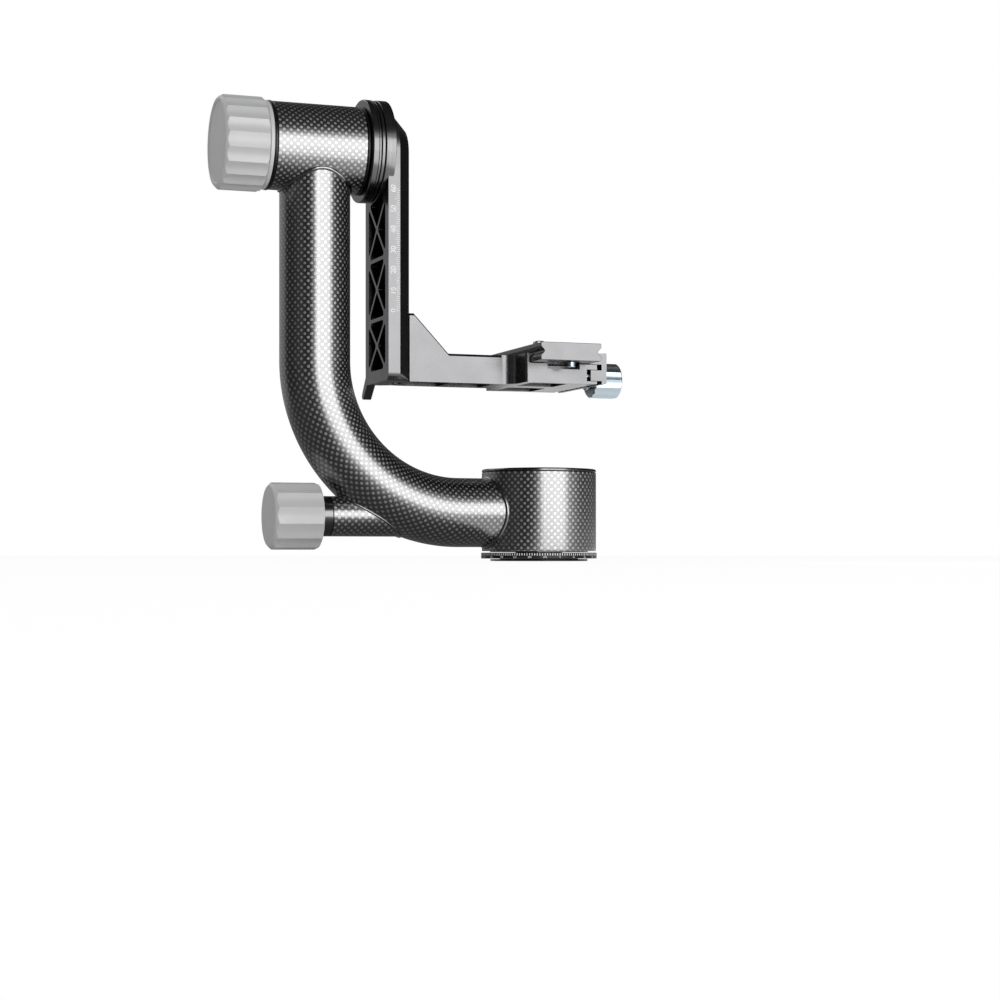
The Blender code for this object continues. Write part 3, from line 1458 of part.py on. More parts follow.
def main():
    """Build the mount from the foot to the quick plate."""
    clear_scene()
    make_axes()
    make_base()
    make_sleeve()
    make_arm()
    make_pan_lock()
    make_tilt_housing()
    make_tilt_lock()
    make_hub()
    make_swing_plate()
    make_lever()
    make_platform()
    make_guide_pins()
    make_jaw()
    make_clamp_lock()
    make_quick_plate()
    make_camera_screw()


main()
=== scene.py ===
"""Looks of the cantilever camera mount: its visible surfaces and finishes, the studio and the camera.

Metres, +Z up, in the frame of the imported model. Each sub-assembly is a class that builds its surfaces as
numpy grids and dresses them. Turned pieces are profiles carried round an axis, tubes are circles carried
along a path, and plates are outlines carried across their thickness.
"""

import json
import logging
import math
from collections.abc import Callable, Sequence
from dataclasses import dataclass
from enum import Enum

import bmesh
import bpy
import numpy as np
from mathutils import Matrix, Vector
from mathutils.geometry import tessellate_polygon

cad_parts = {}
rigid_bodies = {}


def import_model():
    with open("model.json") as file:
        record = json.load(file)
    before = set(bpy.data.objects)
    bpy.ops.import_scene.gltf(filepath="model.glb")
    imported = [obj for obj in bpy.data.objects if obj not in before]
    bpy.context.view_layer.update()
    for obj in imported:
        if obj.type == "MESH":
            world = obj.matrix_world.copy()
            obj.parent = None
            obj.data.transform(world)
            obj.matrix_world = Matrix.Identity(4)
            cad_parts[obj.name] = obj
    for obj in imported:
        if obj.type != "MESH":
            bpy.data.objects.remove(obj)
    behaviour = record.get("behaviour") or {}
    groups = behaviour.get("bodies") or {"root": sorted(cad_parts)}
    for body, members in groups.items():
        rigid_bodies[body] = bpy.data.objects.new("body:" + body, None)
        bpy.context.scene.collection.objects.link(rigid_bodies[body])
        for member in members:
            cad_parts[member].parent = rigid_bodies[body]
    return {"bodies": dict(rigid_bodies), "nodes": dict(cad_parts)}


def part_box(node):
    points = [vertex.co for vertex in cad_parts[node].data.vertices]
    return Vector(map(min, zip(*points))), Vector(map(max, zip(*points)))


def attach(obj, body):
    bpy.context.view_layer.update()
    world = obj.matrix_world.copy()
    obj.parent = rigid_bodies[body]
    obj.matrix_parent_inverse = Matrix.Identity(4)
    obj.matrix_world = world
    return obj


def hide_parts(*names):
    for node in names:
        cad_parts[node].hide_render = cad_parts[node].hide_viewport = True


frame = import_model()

LOG = logging.getLogger("camera_mount")
MM = 0.001
GAP = 0.3 * MM
WELD = 1e-7
SOFT_EDGE = 0.25 * MM
EDGE_STEPS = 4
SHARP_ANGLE = math.radians(33)
BEVEL_ANGLE = math.radians(32)
FLAT_ANGLE = math.radians(0.6)
ROUND = 144
SMALL_ROUND = 48
FASTENER_ROUND = 72
PROUD = 0.02 * MM
SHADE = 0.82
DUST_COLOUR = (0.5, 0.49, 0.47, 1.0)
TOW_GROUND = (0.050, 0.050, 0.052, 1.0)
TOW_CROWN = (0.50, 0.50, 0.505, 1.0)

Profile = Sequence[tuple[float, float]]
Colour = tuple[float, float, float]


class Axis(Enum):
    """The axis that a profile is carried round."""

    X = "X"
    Y = "Y"
    Z = "Z"


class Plane(Enum):
    """The plane that an outline lies in; it is carried across the third axis."""

    XY = "XY"
    YZ = "YZ"


@dataclass(frozen=True)
class Finish:
    """One finish of the mount's surfaces.

    Args:
        name: The material's name.
        slot: The record's material slot; not used.
        colour: Base colour, linear.
        worn: Colour along edges, linear; lighter, a painted edge highlight that partly stands for wear.
        metallic: How metallic the surface is.
        roughness: Middle of the roughness.
        spread: How far the roughness varies either way.
        grain: Size of the grain, in grains a metre.
        relief: Height of the grain, in metres.
        coat: Weight of the clear coat.
        wear: How strongly the lighter edges show, a painted edge highlight that partly stands for wear.
    """

    name: str
    slot: str
    colour: Colour
    worn: Colour
    metallic: float
    roughness: float
    spread: float
    grain: float
    relief: float
    coat: float = 0.0
    wear: float = 0.5


class Finishes(Enum):
    """Every plain finish; the carbon weave and the white marks have their own classes."""

    # The fourth value of each finish is its lighter edge colour: a painted edge highlight, partly wear.
    BLACK = Finish("black_satin", "black_anodised", (0.03,) * 3, (0.09,) * 3, 0.8, 0.30, 0.05, 9000, 4e-6)
    RING = Finish("ring_satin", "black_anodised", (0.15,) * 3, (0.30,) * 3, 1.0, 0.20, 0.04, 9000, 3e-6)
    DARK = Finish("dark_satin", "dark_anodised", (0.15, 0.15, 0.153), (0.30,) * 3, 1.0, 0.27, 0.04, 9000, 5e-6)
    GREY = Finish("light_satin", "grey_anodised", (0.57, 0.57, 0.573), (0.70,) * 3, 0.1, 0.50, 0.05, 11000, 3e-6)
    POLISHED = Finish("polished_knob", "polished", (0.52, 0.60, 0.66), (0.75, 0.8, 0.85), 1.0, 0.33, 0.05, 5000, 1e-6)
    STEEL = Finish("turned_steel", "steel", (0.52, 0.52, 0.51), (0.7,) * 3, 1.0, 0.24, 0.06, 8000, 2e-6)
    BRASS = Finish("turned_brass", "brass", (0.58, 0.42, 0.16), (0.75, 0.6, 0.3), 1.0, 0.30, 0.06, 8000, 2e-6)
    RUBBER = Finish("grip_rubber", "rubber", (0.022,) * 3, (0.05,) * 3, 0.0, 0.75, 0.08, 6000, 12e-6)
    RESIN = Finish("seam_resin", "carbon", (0.20, 0.20, 0.203), (0.3,) * 3, 1.0, 0.16, 0.04, 3000, 2e-6, 1.0)


def soften(
    corners: Profile,
    radius: float | Sequence[float],
    closed: bool = False,
    steps: int = EDGE_STEPS,
) -> np.ndarray:
    """Round the corners of a flat line.

    Each corner gives way to an arc that touches both of its sides, at radius / tan(half its angle) from it.

    Args:
        corners: The line's points.
        radius: One radius, or one for each corner; 0 leaves a corner sharp.
        closed: Whether the last point joins the first.
        steps: Pieces of each arc.

    Returns:
        The rounded line, as an array of points.
    """
    pts = np.asarray(corners, float)
    radii = np.broadcast_to(np.asarray(radius, float), len(pts))
    out: list[np.ndarray] = []
    for i, corner in enumerate(pts):
        at_end = not closed and i in (0, len(pts) - 1)
        if at_end or radii[i] <= 0:
            out.append(corner[None])
            continue
        back, ahead = pts[i - 1] - corner, pts[(i + 1) % len(pts)] - corner
        room = min(np.linalg.norm(back), np.linalg.norm(ahead)) * 0.49
        back, ahead = back / np.linalg.norm(back), ahead / np.linalg.norm(ahead)
        half = math.acos(float(np.clip(back @ ahead, -1, 1))) / 2
        if half > math.radians(88):
            out.append(corner[None])
            continue
        reach = min(radii[i] / math.tan(half), room)
        size = reach * math.tan(half)
        middle = (back + ahead) / np.linalg.norm(back + ahead)
        centre = corner + middle * size / math.sin(half)
        start, end = corner + back * reach - centre, corner + ahead * reach - centre
        sweep = math.atan2(start[0] * end[1] - start[1] * end[0], float(start @ end))
        turn = sweep * np.linspace(0, 1, steps + 1)
        cos, sin = np.cos(turn), np.sin(turn)
        out.append(centre + np.stack([start[0] * cos - start[1] * sin, start[0] * sin + start[1] * cos], 1))
    return np.concatenate(out)


def densify(line: np.ndarray, step: float) -> np.ndarray:
    """Add points along a line so that no stretch of it is longer than a step.

    Args:
        line: The points.
        step: The longest stretch.

    Returns:
        The finer line.
    """
    parts = []
    for first, second in zip(line[:-1], line[1:]):
        count = max(1, math.ceil(float(np.linalg.norm(second - first)) / step))
        parts.append(first + (second - first) * (np.arange(count) / count)[:, None])
    return np.concatenate([*parts, line[-1:]])


class Piece:
    """A finished surface: it makes the mesh, welds it, shades it, and hangs it on its body."""

    def __init__(self, name: str, body: str, finish: Finishes | None, *replaced: str) -> None:
        """Name a piece.

        Args:
            name: The piece's name.
            body: The body that it rides on.
            finish: Its plain finish, or None where its own material is given later.
            replaced: The CAD nodes that it stands for.
        """
        self.name, self.body, self.finish, self.replaced = name, body, finish, replaced

    def from_arrays(self, verts: np.ndarray, faces: list, uv: np.ndarray | None = None) -> bpy.types.Object:
        """Make the object from vertices and faces, with closed seams and poles and faces that point outwards.

        Args:
            verts: One row a vertex.
            faces: Lists of vertex numbers.
            uv: One row a vertex, in the pattern's own units.

        Returns:
            The object, riding on its body.
        """
        mesh = bpy.data.meshes.new(self.name)
        mesh.from_pydata(verts.tolist(), [], faces)
        if uv is not None:
            corners = np.empty(len(mesh.loops), np.int32)
            mesh.loops.foreach_get("vertex_index", corners)
            layer = mesh.uv_layers.new(name="UVMap")
            layer.data.foreach_set("uv", uv[corners].astype(np.float32).ravel())
        work = bmesh.new()
        work.from_mesh(mesh)
        bmesh.ops.remove_doubles(work, verts=work.verts, dist=WELD)
        bmesh.ops.recalc_face_normals(work, faces=work.faces)
        work.to_mesh(mesh)
        work.free()
        return self.place(mesh)

    def place(self, mesh: bpy.types.Mesh) -> bpy.types.Object:
        """Shade a mesh and hang it on its body as this piece.

        Args:
            mesh: A closed mesh in the frame's own place.

        Returns:
            The object.
        """
        mesh.shade_smooth()
        mesh.set_sharp_from_angle(angle=SHARP_ANGLE)
        obj = bpy.data.objects.new(self.name, mesh)
        bpy.context.scene.collection.objects.link(obj)
        weighted = obj.modifiers.new("even_flats", "WEIGHTED_NORMAL")
        weighted.keep_sharp = True
        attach(obj, self.body)
        if self.replaced:
            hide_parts(*self.replaced)
        if self.finish:
            obj.data.materials.append(PAINTS[self.finish])
        LOG.info("%s: %d vertices on %s", self.name, len(mesh.vertices), self.body)
        return obj

    def grid(self, points: np.ndarray, uv: np.ndarray | None = None, loop_rows: bool = False) -> bpy.types.Object:
        """Make a surface of two parameters; its first and last columns are the same line.

        Args:
            points: Rows by columns by three.
            uv: Rows by columns by two.
            loop_rows: Whether the last row joins the first.

        Returns:
            The object.
        """
        rows, cols = points.shape[:2]
        row = np.arange(rows if loop_rows else rows - 1)[:, None]
        col = np.arange(cols - 1)[None]
        after = (row + 1) % rows
        quads = np.stack([row * cols + col, row * cols + col + 1, after * cols + col + 1, after * cols + col], -1)
        flat_uv = None if uv is None else uv.reshape(-1, 2)
        return self.from_arrays(points.reshape(-1, 3), quads.reshape(-1, 4).tolist(), flat_uv)

    def turned(
        self,
        corners: Profile,
        axis: Axis,
        centre: Sequence[float] = (0, 0, 0),
        edge: float | Sequence[float] = SOFT_EDGE,
        closed: bool = False,
        around: int = ROUND,
        flutes: Callable[[np.ndarray], np.ndarray] | None = None,
        step: float | None = None,
        tows: tuple[int, float] | None = None,
    ) -> bpy.types.Object:
        """Carry a profile of (radius, height) round an axis.

        A point is the centre, plus its height along the axis, plus its radius times (cos, sin) of the angle.
        With flutes, the radius is the lesser of the profile's and the flutes' at that angle.

        Args:
            corners: The profile's corners.
            axis: The axis.
            centre: A point of the axis; heights count from it.
            edge: Rounding of the corners.
            closed: Whether the profile is a loop, as a ring's is.
            around: Steps round the axis.
            flutes: The fluted radius at each angle.
            step: The longest stretch of the profile.
            tows: For cloth, the tows round it and the pitch along it.

        Returns:
            The object.
        """
        line = soften(corners, edge, closed)
        if closed:
            line = np.concatenate([line, line[:1]])
        if step:
            line = densify(line, step)
        angle = np.linspace(0, 2 * math.pi, around + 1)
        radius = np.repeat(line[:, :1], around + 1, 1)
        if flutes is not None:
            radius = np.minimum(radius, flutes(angle)[None])
        height = np.repeat(line[:, 1:], around + 1, 1)
        cos, sin = radius * np.cos(angle), radius * np.sin(angle)
        order = {Axis.X: (height, cos, sin), Axis.Y: (sin, height, cos), Axis.Z: (cos, sin, height)}[axis]
        points = np.stack(order, -1) + np.asarray(centre, float)
        uv = None
        if tows:
            stretches = np.linalg.norm(np.diff(line, axis=0), axis=1)
            along = np.concatenate([[0], np.cumsum(stretches)]) / tows[1]
            across = np.repeat(angle[None] * tows[0] / (2 * math.pi), len(line), 0)
            uv = np.stack([across, np.repeat(along[:, None], around + 1, 1)], -1)
        return self.grid(points, uv)

    def carried(self, loops: Sequence[np.ndarray], rim: Profile, plane: Plane) -> bpy.types.Object:
        """Carry an outline, and any holes in it, across a plate's thickness.

        Each row of the wall is the outline moved inwards, along the mean of its two sides' normals, by the
        rim's inset, at the rim's station. Flat faces close both ends.

        Args:
            loops: The outline anticlockwise, then holes clockwise.
            rim: Pairs of inset and station, from one face to the other.
            plane: The plane of the outline.

        Returns:
            The object.
        """
        rim_line = np.asarray(rim, float)
        verts, faces, starts = [], [], []
        for loop in loops:
            side = np.roll(loop, -1, 0) - loop
            out = np.stack([side[:, 1], -side[:, 0]], 1) / np.linalg.norm(side, axis=1, keepdims=True)
            mean = out + np.roll(out, 1, 0)
            mean /= np.maximum((mean * mean).sum(1, keepdims=True) / 2, 1e-9)
            flat = loop[None] - mean[None] * rim_line[:, None, :1]
            station = np.broadcast_to(rim_line[:, 1:, None], (*flat.shape[:2], 1))
            rows, count = flat.shape[:2]
            start = sum(len(v) for v in verts)
            starts.append((start, rows, count))
            verts.append(np.concatenate([flat, station], -1).reshape(-1, 3))
            row, col = np.arange(rows - 1)[:, None], np.arange(count)[None]
            ahead = (col + 1) % count
            after = row + 1
            quads = np.stack([row * count + col, row * count + ahead, after * count + ahead, after * count + col], -1)
            faces += (quads.reshape(-1, 4) + start).tolist()
        flat_verts = np.concatenate(verts)
        for row in (0, -1):
            edges = [[start + (row % rows) * count + i for i in range(count)] for start, rows, count in starts]
            rings = [[Vector((*flat_verts[i, :2], 0)) for i in edge] for edge in edges]
            index = [i for edge in edges for i in edge]
            faces += [[index[i] for i in tri] for tri in tessellate_polygon(rings)]
        first, second, across = flat_verts.T
        order = (first, second, across) if plane is Plane.XY else (across, first, second)
        return self.from_arrays(np.stack(order, 1), faces)

    def machined(self, node: str, edge: float, steps: int = 3) -> bpy.types.Object:
        """Copy a CAD node's solid, weld it, and break its edges with a small round.

        Args:
            node: The CAD node.
            edge: Width of the round.
            steps: Faces across it.

        Returns:
            The object.
        """
        mesh = frame["nodes"][node].data.copy()
        mesh.name = self.name
        work = bmesh.new()
        work.from_mesh(mesh)
        bmesh.ops.remove_doubles(work, verts=work.verts, dist=WELD * 20)
        bmesh.ops.dissolve_limit(
            work,
            angle_limit=FLAT_ANGLE,
            use_dissolve_boundaries=False,
            verts=work.verts,
            edges=work.edges,
            delimit=set(),
        )
        work.to_mesh(mesh)
        work.free()
        mesh.materials.clear()
        self.replaced = (node,)
        obj = self.place(mesh)
        bevel = obj.modifiers.new("broken_edges", "BEVEL")
        bevel.width = edge
        bevel.segments = steps
        bevel.limit_method = "ANGLE"
        bevel.angle_limit = BEVEL_ANGLE
        bevel.use_clamp_overlap = True
        bevel.harden_normals = False
        obj.modifiers.move(1, 0)
        return obj


class Net:
    """A small help for wiring shader nodes."""

    def __init__(self, tree: bpy.types.NodeTree) -> None:
        """Keep the tree that nodes are added to."""
        self.tree = tree

    def node(self, kind: str, **values: object) -> bpy.types.Node:
        """Add a node and set its plain properties."""
        made = self.tree.nodes.new(kind)
        for key, value in values.items():
            setattr(made, key, value)
        return made

    def link(self, source: object, target: object) -> None:
        """Join an output to an input, or set a plain value on it."""
        if isinstance(source, bpy.types.NodeSocket):
            self.tree.links.new(source, target)
        else:
            target.default_value = source

    def math(self, operation: str, first: object, second: object = None, third: object = None) -> bpy.types.NodeSocket:
        """A Math node with its inputs joined or set."""
        made = self.node("ShaderNodeMath", operation=operation)
        for value, target in zip((first, second, third), made.inputs):
            if value is not None:
                self.link(value, target)
        return made.outputs[0]

    def mix(self, share: object, first: object, second: object) -> bpy.types.NodeSocket:
        """A colour mix with its inputs joined or set."""
        made = self.node("ShaderNodeMix", data_type="RGBA")
        self.link(share, made.inputs[0])
        self.link(first, made.inputs[6])
        self.link(second, made.inputs[7])
        return made.outputs[2]

    def noise(self, vector: object, scale: object, detail: float = 2.0) -> bpy.types.NodeSocket:
        """A noise value between 0 and 1."""
        made = self.node("ShaderNodeTexNoise")
        self.link(vector, made.inputs["Vector"])
        self.link(scale, made.inputs["Scale"])
        made.inputs["Detail"].default_value = detail
        return made.outputs["Fac"]


def group(
    name: str,
    inputs: Sequence[tuple[str, str, object]],
    outputs: Sequence[tuple[str, str]],
) -> tuple[Net, bpy.types.Node, bpy.types.Node]:
    """Start a shader group with named sockets.

    Args:
        name: The group's name.
        inputs: Name, kind and default of each input.
        outputs: Name and kind of each output.

    Returns:
        The net, the input node and the output node.
    """
    tree = bpy.data.node_groups.new(name, "ShaderNodeTree")
    for label, kind, value in inputs:
        socket = tree.interface.new_socket(label, in_out="INPUT", socket_type=f"NodeSocket{kind}")
        if value is not None:
            socket.default_value = value
    for label, kind in outputs:
        tree.interface.new_socket(label, in_out="OUTPUT", socket_type=f"NodeSocket{kind}")
    net = Net(tree)
    return net, net.node("NodeGroupInput"), net.node("NodeGroupOutput")


def edge_wear_group() -> bpy.types.NodeTree:
    """A mask of edges for a painted edge highlight that partly stands for wear: one less the dot product of the rounded
    normal and the true one, broken by noise.
    """
    sockets = [("Width", "Float", 0.0004), ("Break", "Float", 900.0)]
    net, start, end = group("edge_highlight_and_wear", sockets, [("Mask", "Float")])
    bevel = net.node("ShaderNodeBevel", samples=4)
    net.link(start.outputs["Width"], bevel.inputs["Radius"])
    true = net.node("ShaderNodeNewGeometry")
    dot = net.node("ShaderNodeVectorMath", operation="DOT_PRODUCT")
    net.link(bevel.outputs[0], dot.inputs[0])
    net.link(true.outputs["Normal"], dot.inputs[1])
    away = net.math("SUBTRACT", 1.0, dot.outputs["Value"])
    coords = net.node("ShaderNodeTexCoord")
    broken = net.noise(coords.outputs["Object"], start.outputs["Break"])
    ramp = net.node("ShaderNodeMapRange", interpolation_type="SMOOTHSTEP")
    net.link(net.math("MULTIPLY", away, net.math("ADD", broken, 0.5)), ramp.inputs["Value"])
    ramp.inputs["From Min"].default_value = 0.02
    ramp.inputs["From Max"].default_value = 0.25
    net.link(ramp.outputs[0], end.inputs["Mask"])
    return net.tree


def grain_group() -> bpy.types.NodeTree:
    """Blasted grain: a fine noise for the relief, and a broad one that clouds the gloss."""
    sockets = [("Grains", "Float", 9000.0), ("Cloud", "Float", 60.0)]
    net, start, end = group("blasted_grain", sockets, [("Fine", "Float"), ("Broad", "Float")])
    coords = net.node("ShaderNodeTexCoord")
    net.link(net.noise(coords.outputs["Object"], start.outputs["Grains"], 1.0), end.inputs["Fine"])
    net.link(net.noise(coords.outputs["Object"], start.outputs["Cloud"], 4.0), end.inputs["Broad"])
    return net.tree


def dust_group() -> bpy.types.NodeTree:
    """Faint dust: sparse specks on surfaces that face upwards."""
    sockets = [("Specks", "Float", 2600.0), ("Amount", "Float", 0.1)]
    net, start, end = group("faint_dust", sockets, [("Mask", "Float")])
    coords = net.node("ShaderNodeTexCoord")
    specks = net.noise(coords.outputs["Object"], start.outputs["Specks"], 0.0)
    sparse = net.math("GREATER_THAN", specks, 0.76)
    split = net.node("ShaderNodeSeparateXYZ")
    net.link(net.node("ShaderNodeNewGeometry").outputs["Normal"], split.inputs[0])
    upwards = net.math("MAXIMUM", split.outputs["Z"], 0.0)
    net.link(net.math("MULTIPLY", net.math("MULTIPLY", sparse, upwards), start.outputs["Amount"]), end.inputs["Mask"])
    return net.tree


def weave_group() -> bpy.types.NodeTree:
    """Plain weave on a UV map that counts tows.

    A tow's share across is f and along is g. Its crown is sin(pi f) times sin(pi g). A cell shows the hoop
    tow where the sum of its two whole numbers is odd, and the long tow where it is even.
    """
    net, start, end = group(
        "plain_weave",
        [("UV", "Vector", None), ("Fibres", "Float", 7.0)],
        [("Hoop", "Float"), ("Crown", "Float"), ("Height", "Float"), ("Fibre", "Float")],
    )
    split = net.node("ShaderNodeSeparateXYZ")
    net.link(start.outputs["UV"], split.inputs[0])
    u, v = split.outputs["X"], split.outputs["Y"]
    whole = net.math("ADD", net.math("FLOOR", u), net.math("FLOOR", v))
    hoop = net.math("MODULO", net.math("ABSOLUTE", whole), 2.0)
    across = net.math("SINE", net.math("MULTIPLY", net.math("FRACT", u), math.pi))
    along = net.math("SINE", net.math("MULTIPLY", net.math("FRACT", v), math.pi))
    crown = net.math("MULTIPLY", across, along)
    height = net.math("POWER", net.math("MAXIMUM", crown, 0.0001), 0.6)
    fibres = net.math("MULTIPLY", start.outputs["Fibres"], 2 * math.pi)
    stripes_u = net.math("SINE", net.math("MULTIPLY", u, fibres))
    stripes_v = net.math("SINE", net.math("MULTIPLY", v, fibres))
    fibre = net.node("ShaderNodeMix", data_type="FLOAT")
    net.link(hoop, fibre.inputs[0])
    net.link(stripes_u, fibre.inputs[2])
    net.link(stripes_v, fibre.inputs[3])
    results = {"Hoop": hoop, "Crown": crown, "Height": height, "Fibre": fibre.outputs[0]}
    for label, source in results.items():
        net.link(source, end.inputs[label])
    return net.tree


class Paints(dict):
    """Every material, built once and kept by its finish."""

    def __init__(self) -> None:
        """Build the shader groups, and a material for each finish."""
        super().__init__()
        # Mask of edges that lightens them: a painted edge highlight, partly wear.
        self.wear = edge_wear_group()
        self.grain = grain_group()
        self.dust = dust_group()
        self.weave = weave_group()
        for finish in Finishes:
            self[finish] = self.plain(finish.value)
        self.carbon = self.cloth()
        self.white = self.marks()

    def start(self, name: str) -> tuple[bpy.types.Material, Net, bpy.types.Node]:
        """A new material with its net and shader."""
        made = bpy.data.materials.new(name)
        made.use_nodes = True
        return made, Net(made.node_tree), made.node_tree.nodes["Principled BSDF"]

    def use(self, net: Net, tree: bpy.types.NodeTree, **values: float) -> bpy.types.Node:
        """Place a group in a material with its own values."""
        made = net.node("ShaderNodeGroup", node_tree=tree)
        for key, value in values.items():
            made.inputs[key].default_value = value
        return made

    def plain(self, finish: Finish) -> bpy.types.Material:
        """A blasted, turned or moulded surface with lighter edges, a painted edge highlight that partly stands for
        wear, clouded gloss and faint dust.

        Args:
            finish: The finish.

        Returns:
            The material.
        """
        made, net, shader = self.start(finish.name)
        wear = self.use(net, self.wear, Width=0.0004, Break=900.0)
        grain = self.use(net, self.grain, Grains=finish.grain, Cloud=70.0)
        dust = self.use(net, self.dust, Specks=2600.0, Amount=0.08)
        cloud = net.math("SUBTRACT", grain.outputs["Broad"], 0.5)
        shade = (*(c * SHADE for c in finish.colour), 1.0)
        tone = net.mix(net.math("MULTIPLY_ADD", cloud, 0.5, 0.25), (*finish.colour, 1.0), shade)
        # Colour lightened along edges: a painted edge highlight, partly wear.
        worn = net.mix(net.math("MULTIPLY", wear.outputs["Mask"], finish.wear), tone, (*finish.worn, 1.0))
        net.link(net.mix(dust.outputs["Mask"], worn, DUST_COLOUR), shader.inputs["Base Color"])
        rough = net.math("MULTIPLY_ADD", cloud, finish.spread * 4, finish.roughness)
        fine = net.math("SUBTRACT", grain.outputs["Fine"], 0.5)
        net.link(net.math("MULTIPLY_ADD", fine, finish.spread, rough), shader.inputs["Roughness"])
        shader.inputs["Metallic"].default_value = finish.metallic
        shader.inputs["Coat Weight"].default_value = finish.coat
        shader.inputs["Coat Roughness"].default_value = 0.08
        bump = net.node("ShaderNodeBump")
        bump.inputs["Strength"].default_value = 0.35
        bump.inputs["Distance"].default_value = finish.relief
        net.link(grain.outputs["Fine"], bump.inputs["Height"])
        net.link(bump.outputs[0], shader.inputs["Normal"])
        return made

    def cloth(self) -> bpy.types.Material:
        """Plain carbon weave under a clear coat.

        The crowns of the hoop tows are rougher and lighter metal than the ground, so they gather light from a
        wide angle and show as dots, while the smooth ground is dark until the softbox lies in its mirror.
        """
        made, net, shader = self.start("carbon_weave")
        coords = net.node("ShaderNodeTexCoord")
        weave = net.node("ShaderNodeGroup", node_tree=self.weave)
        net.link(coords.outputs["UV"], weave.inputs["UV"])
        crown = net.node("ShaderNodeMapRange", interpolation_type="SMOOTHSTEP")
        net.link(weave.outputs["Crown"], crown.inputs["Value"])
        crown.inputs["From Min"].default_value = 0.12
        crown.inputs["From Max"].default_value = 0.60
        hoop = net.math("MULTIPLY", weave.outputs["Hoop"], crown.outputs[0])
        speck = net.noise(coords.outputs["UV"], 0.9, 2.0)
        bright = net.math("MULTIPLY", hoop, net.math("MULTIPLY_ADD", speck, 1.1, 0.4))
        bright = net.math("MULTIPLY", bright, net.math("MULTIPLY_ADD", weave.outputs["Fibre"], 0.12, 0.88))
        net.link(net.mix(bright, TOW_GROUND, TOW_CROWN), shader.inputs["Base Color"])
        shader.inputs["Metallic"].default_value = 1.0
        net.link(net.math("MULTIPLY_ADD", hoop, 0.30, 0.31), shader.inputs["Roughness"])
        shader.inputs["Coat Weight"].default_value = 1.0
        shader.inputs["Coat IOR"].default_value = 2.4
        shader.inputs["Coat Roughness"].default_value = 0.24
        bump = net.node("ShaderNodeBump")
        bump.inputs["Strength"].default_value = 0.5
        bump.inputs["Distance"].default_value = 0.00008
        net.link(weave.outputs["Height"], bump.inputs["Height"])
        net.link(bump.outputs[0], shader.inputs["Normal"])
        return made

    def marks(self) -> bpy.types.Material:
        """White filled engraving, slightly uneven."""
        made, net, shader = self.start("white_marks")
        coords = net.node("ShaderNodeTexCoord")
        uneven = net.noise(coords.outputs["Object"], 3000.0)
        net.link(net.mix(uneven, (0.95, 0.95, 0.95, 1.0), (0.7, 0.7, 0.7, 1.0)), shader.inputs["Base Color"])
        shader.inputs["Roughness"].default_value = 0.6
        return made


def box(node: str) -> tuple[np.ndarray, np.ndarray]:
    """The lowest and highest corners of a CAD node, as arrays."""
    low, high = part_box(node)
    return np.array(low), np.array(high)


def ring_profile(inner: float, outer: float, low: float, high: float) -> Profile:
    """The loop of a ring's profile."""
    return [(outer, high), (outer, low), (inner, low), (inner, high)]


def bead(path: np.ndarray, radius: float, around: int = 12) -> np.ndarray:
    """A thin bead along a closed line.

    At each point the section is a circle across the line's direction: the point plus the radius times the cos
    and sin of an angle along two directions square to it.

    Args:
        path: Points of the line, without the last one again.
        radius: The bead's radius.
        around: Steps round it.

    Returns:
        Rows by columns by three; the rows close on each other.
    """
    ahead = np.roll(path, -1, 0) - np.roll(path, 1, 0)
    ahead /= np.linalg.norm(ahead, axis=1, keepdims=True)
    outward = path - path.mean(0)
    side = np.cross(ahead, outward)
    side /= np.linalg.norm(side, axis=1, keepdims=True)
    third = np.cross(side, ahead)
    angle = np.linspace(0, 2 * math.pi, around + 1)
    cos, sin = np.cos(angle)[None, :, None], np.sin(angle)[None, :, None]
    return path[:, None] + radius * (cos * third[:, None] + sin * side[:, None])


def letters(text: str, height: float, bold: float = 0.012) -> tuple[np.ndarray, list]:
    """Flat faces of plain figures, centred on their middle.

    Args:
        text: The figures.
        height: Their height.
        bold: How far each stroke is widened.

    Returns:
        Flat vertices and faces.
    """
    curve = bpy.data.curves.new("figures", "FONT")
    curve.body = text
    curve.offset = bold
    curve.resolution_u = curve.render_resolution_u = 3
    holder = bpy.data.objects.new("figures", curve)
    bpy.context.scene.collection.objects.link(holder)
    bpy.context.view_layer.update()
    mesh = holder.to_mesh()
    flat = np.empty(len(mesh.vertices) * 3)
    mesh.vertices.foreach_get("co", flat)
    flat = flat.reshape(-1, 3)[:, :2]
    faces = [list(p.vertices) for p in mesh.polygons]
    holder.to_mesh_clear()
    bpy.data.objects.remove(holder)
    bpy.data.curves.remove(curve)
    low, high = flat.min(0), flat.max(0)
    return (flat - (low + high) / 2) * height / (high[1] - low[1]), faces


def marks_piece(name: str, body: str, parts: Sequence[tuple[np.ndarray, list]]) -> None:
    """One piece of white marks from many small flat parts.

    Args:
        name: The piece's name.
        body: Its body.
        parts: Vertices and faces of each part, already in place.
    """
    verts, faces, start = [], [], 0
    for part, part_faces in parts:
        verts.append(part)
        faces += [[i + start for i in face] for face in part_faces]
        start += len(part)
    mesh = bpy.data.meshes.new(name)
    mesh.from_pydata(np.concatenate(verts).tolist(), [], faces)
    obj = bpy.data.objects.new(name, mesh)
    bpy.context.scene.collection.objects.link(obj)
    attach(obj, body)
    mesh.materials.append(PAINTS.white)
    LOG.info("%s: %d faces on %s", name, len(faces), body)


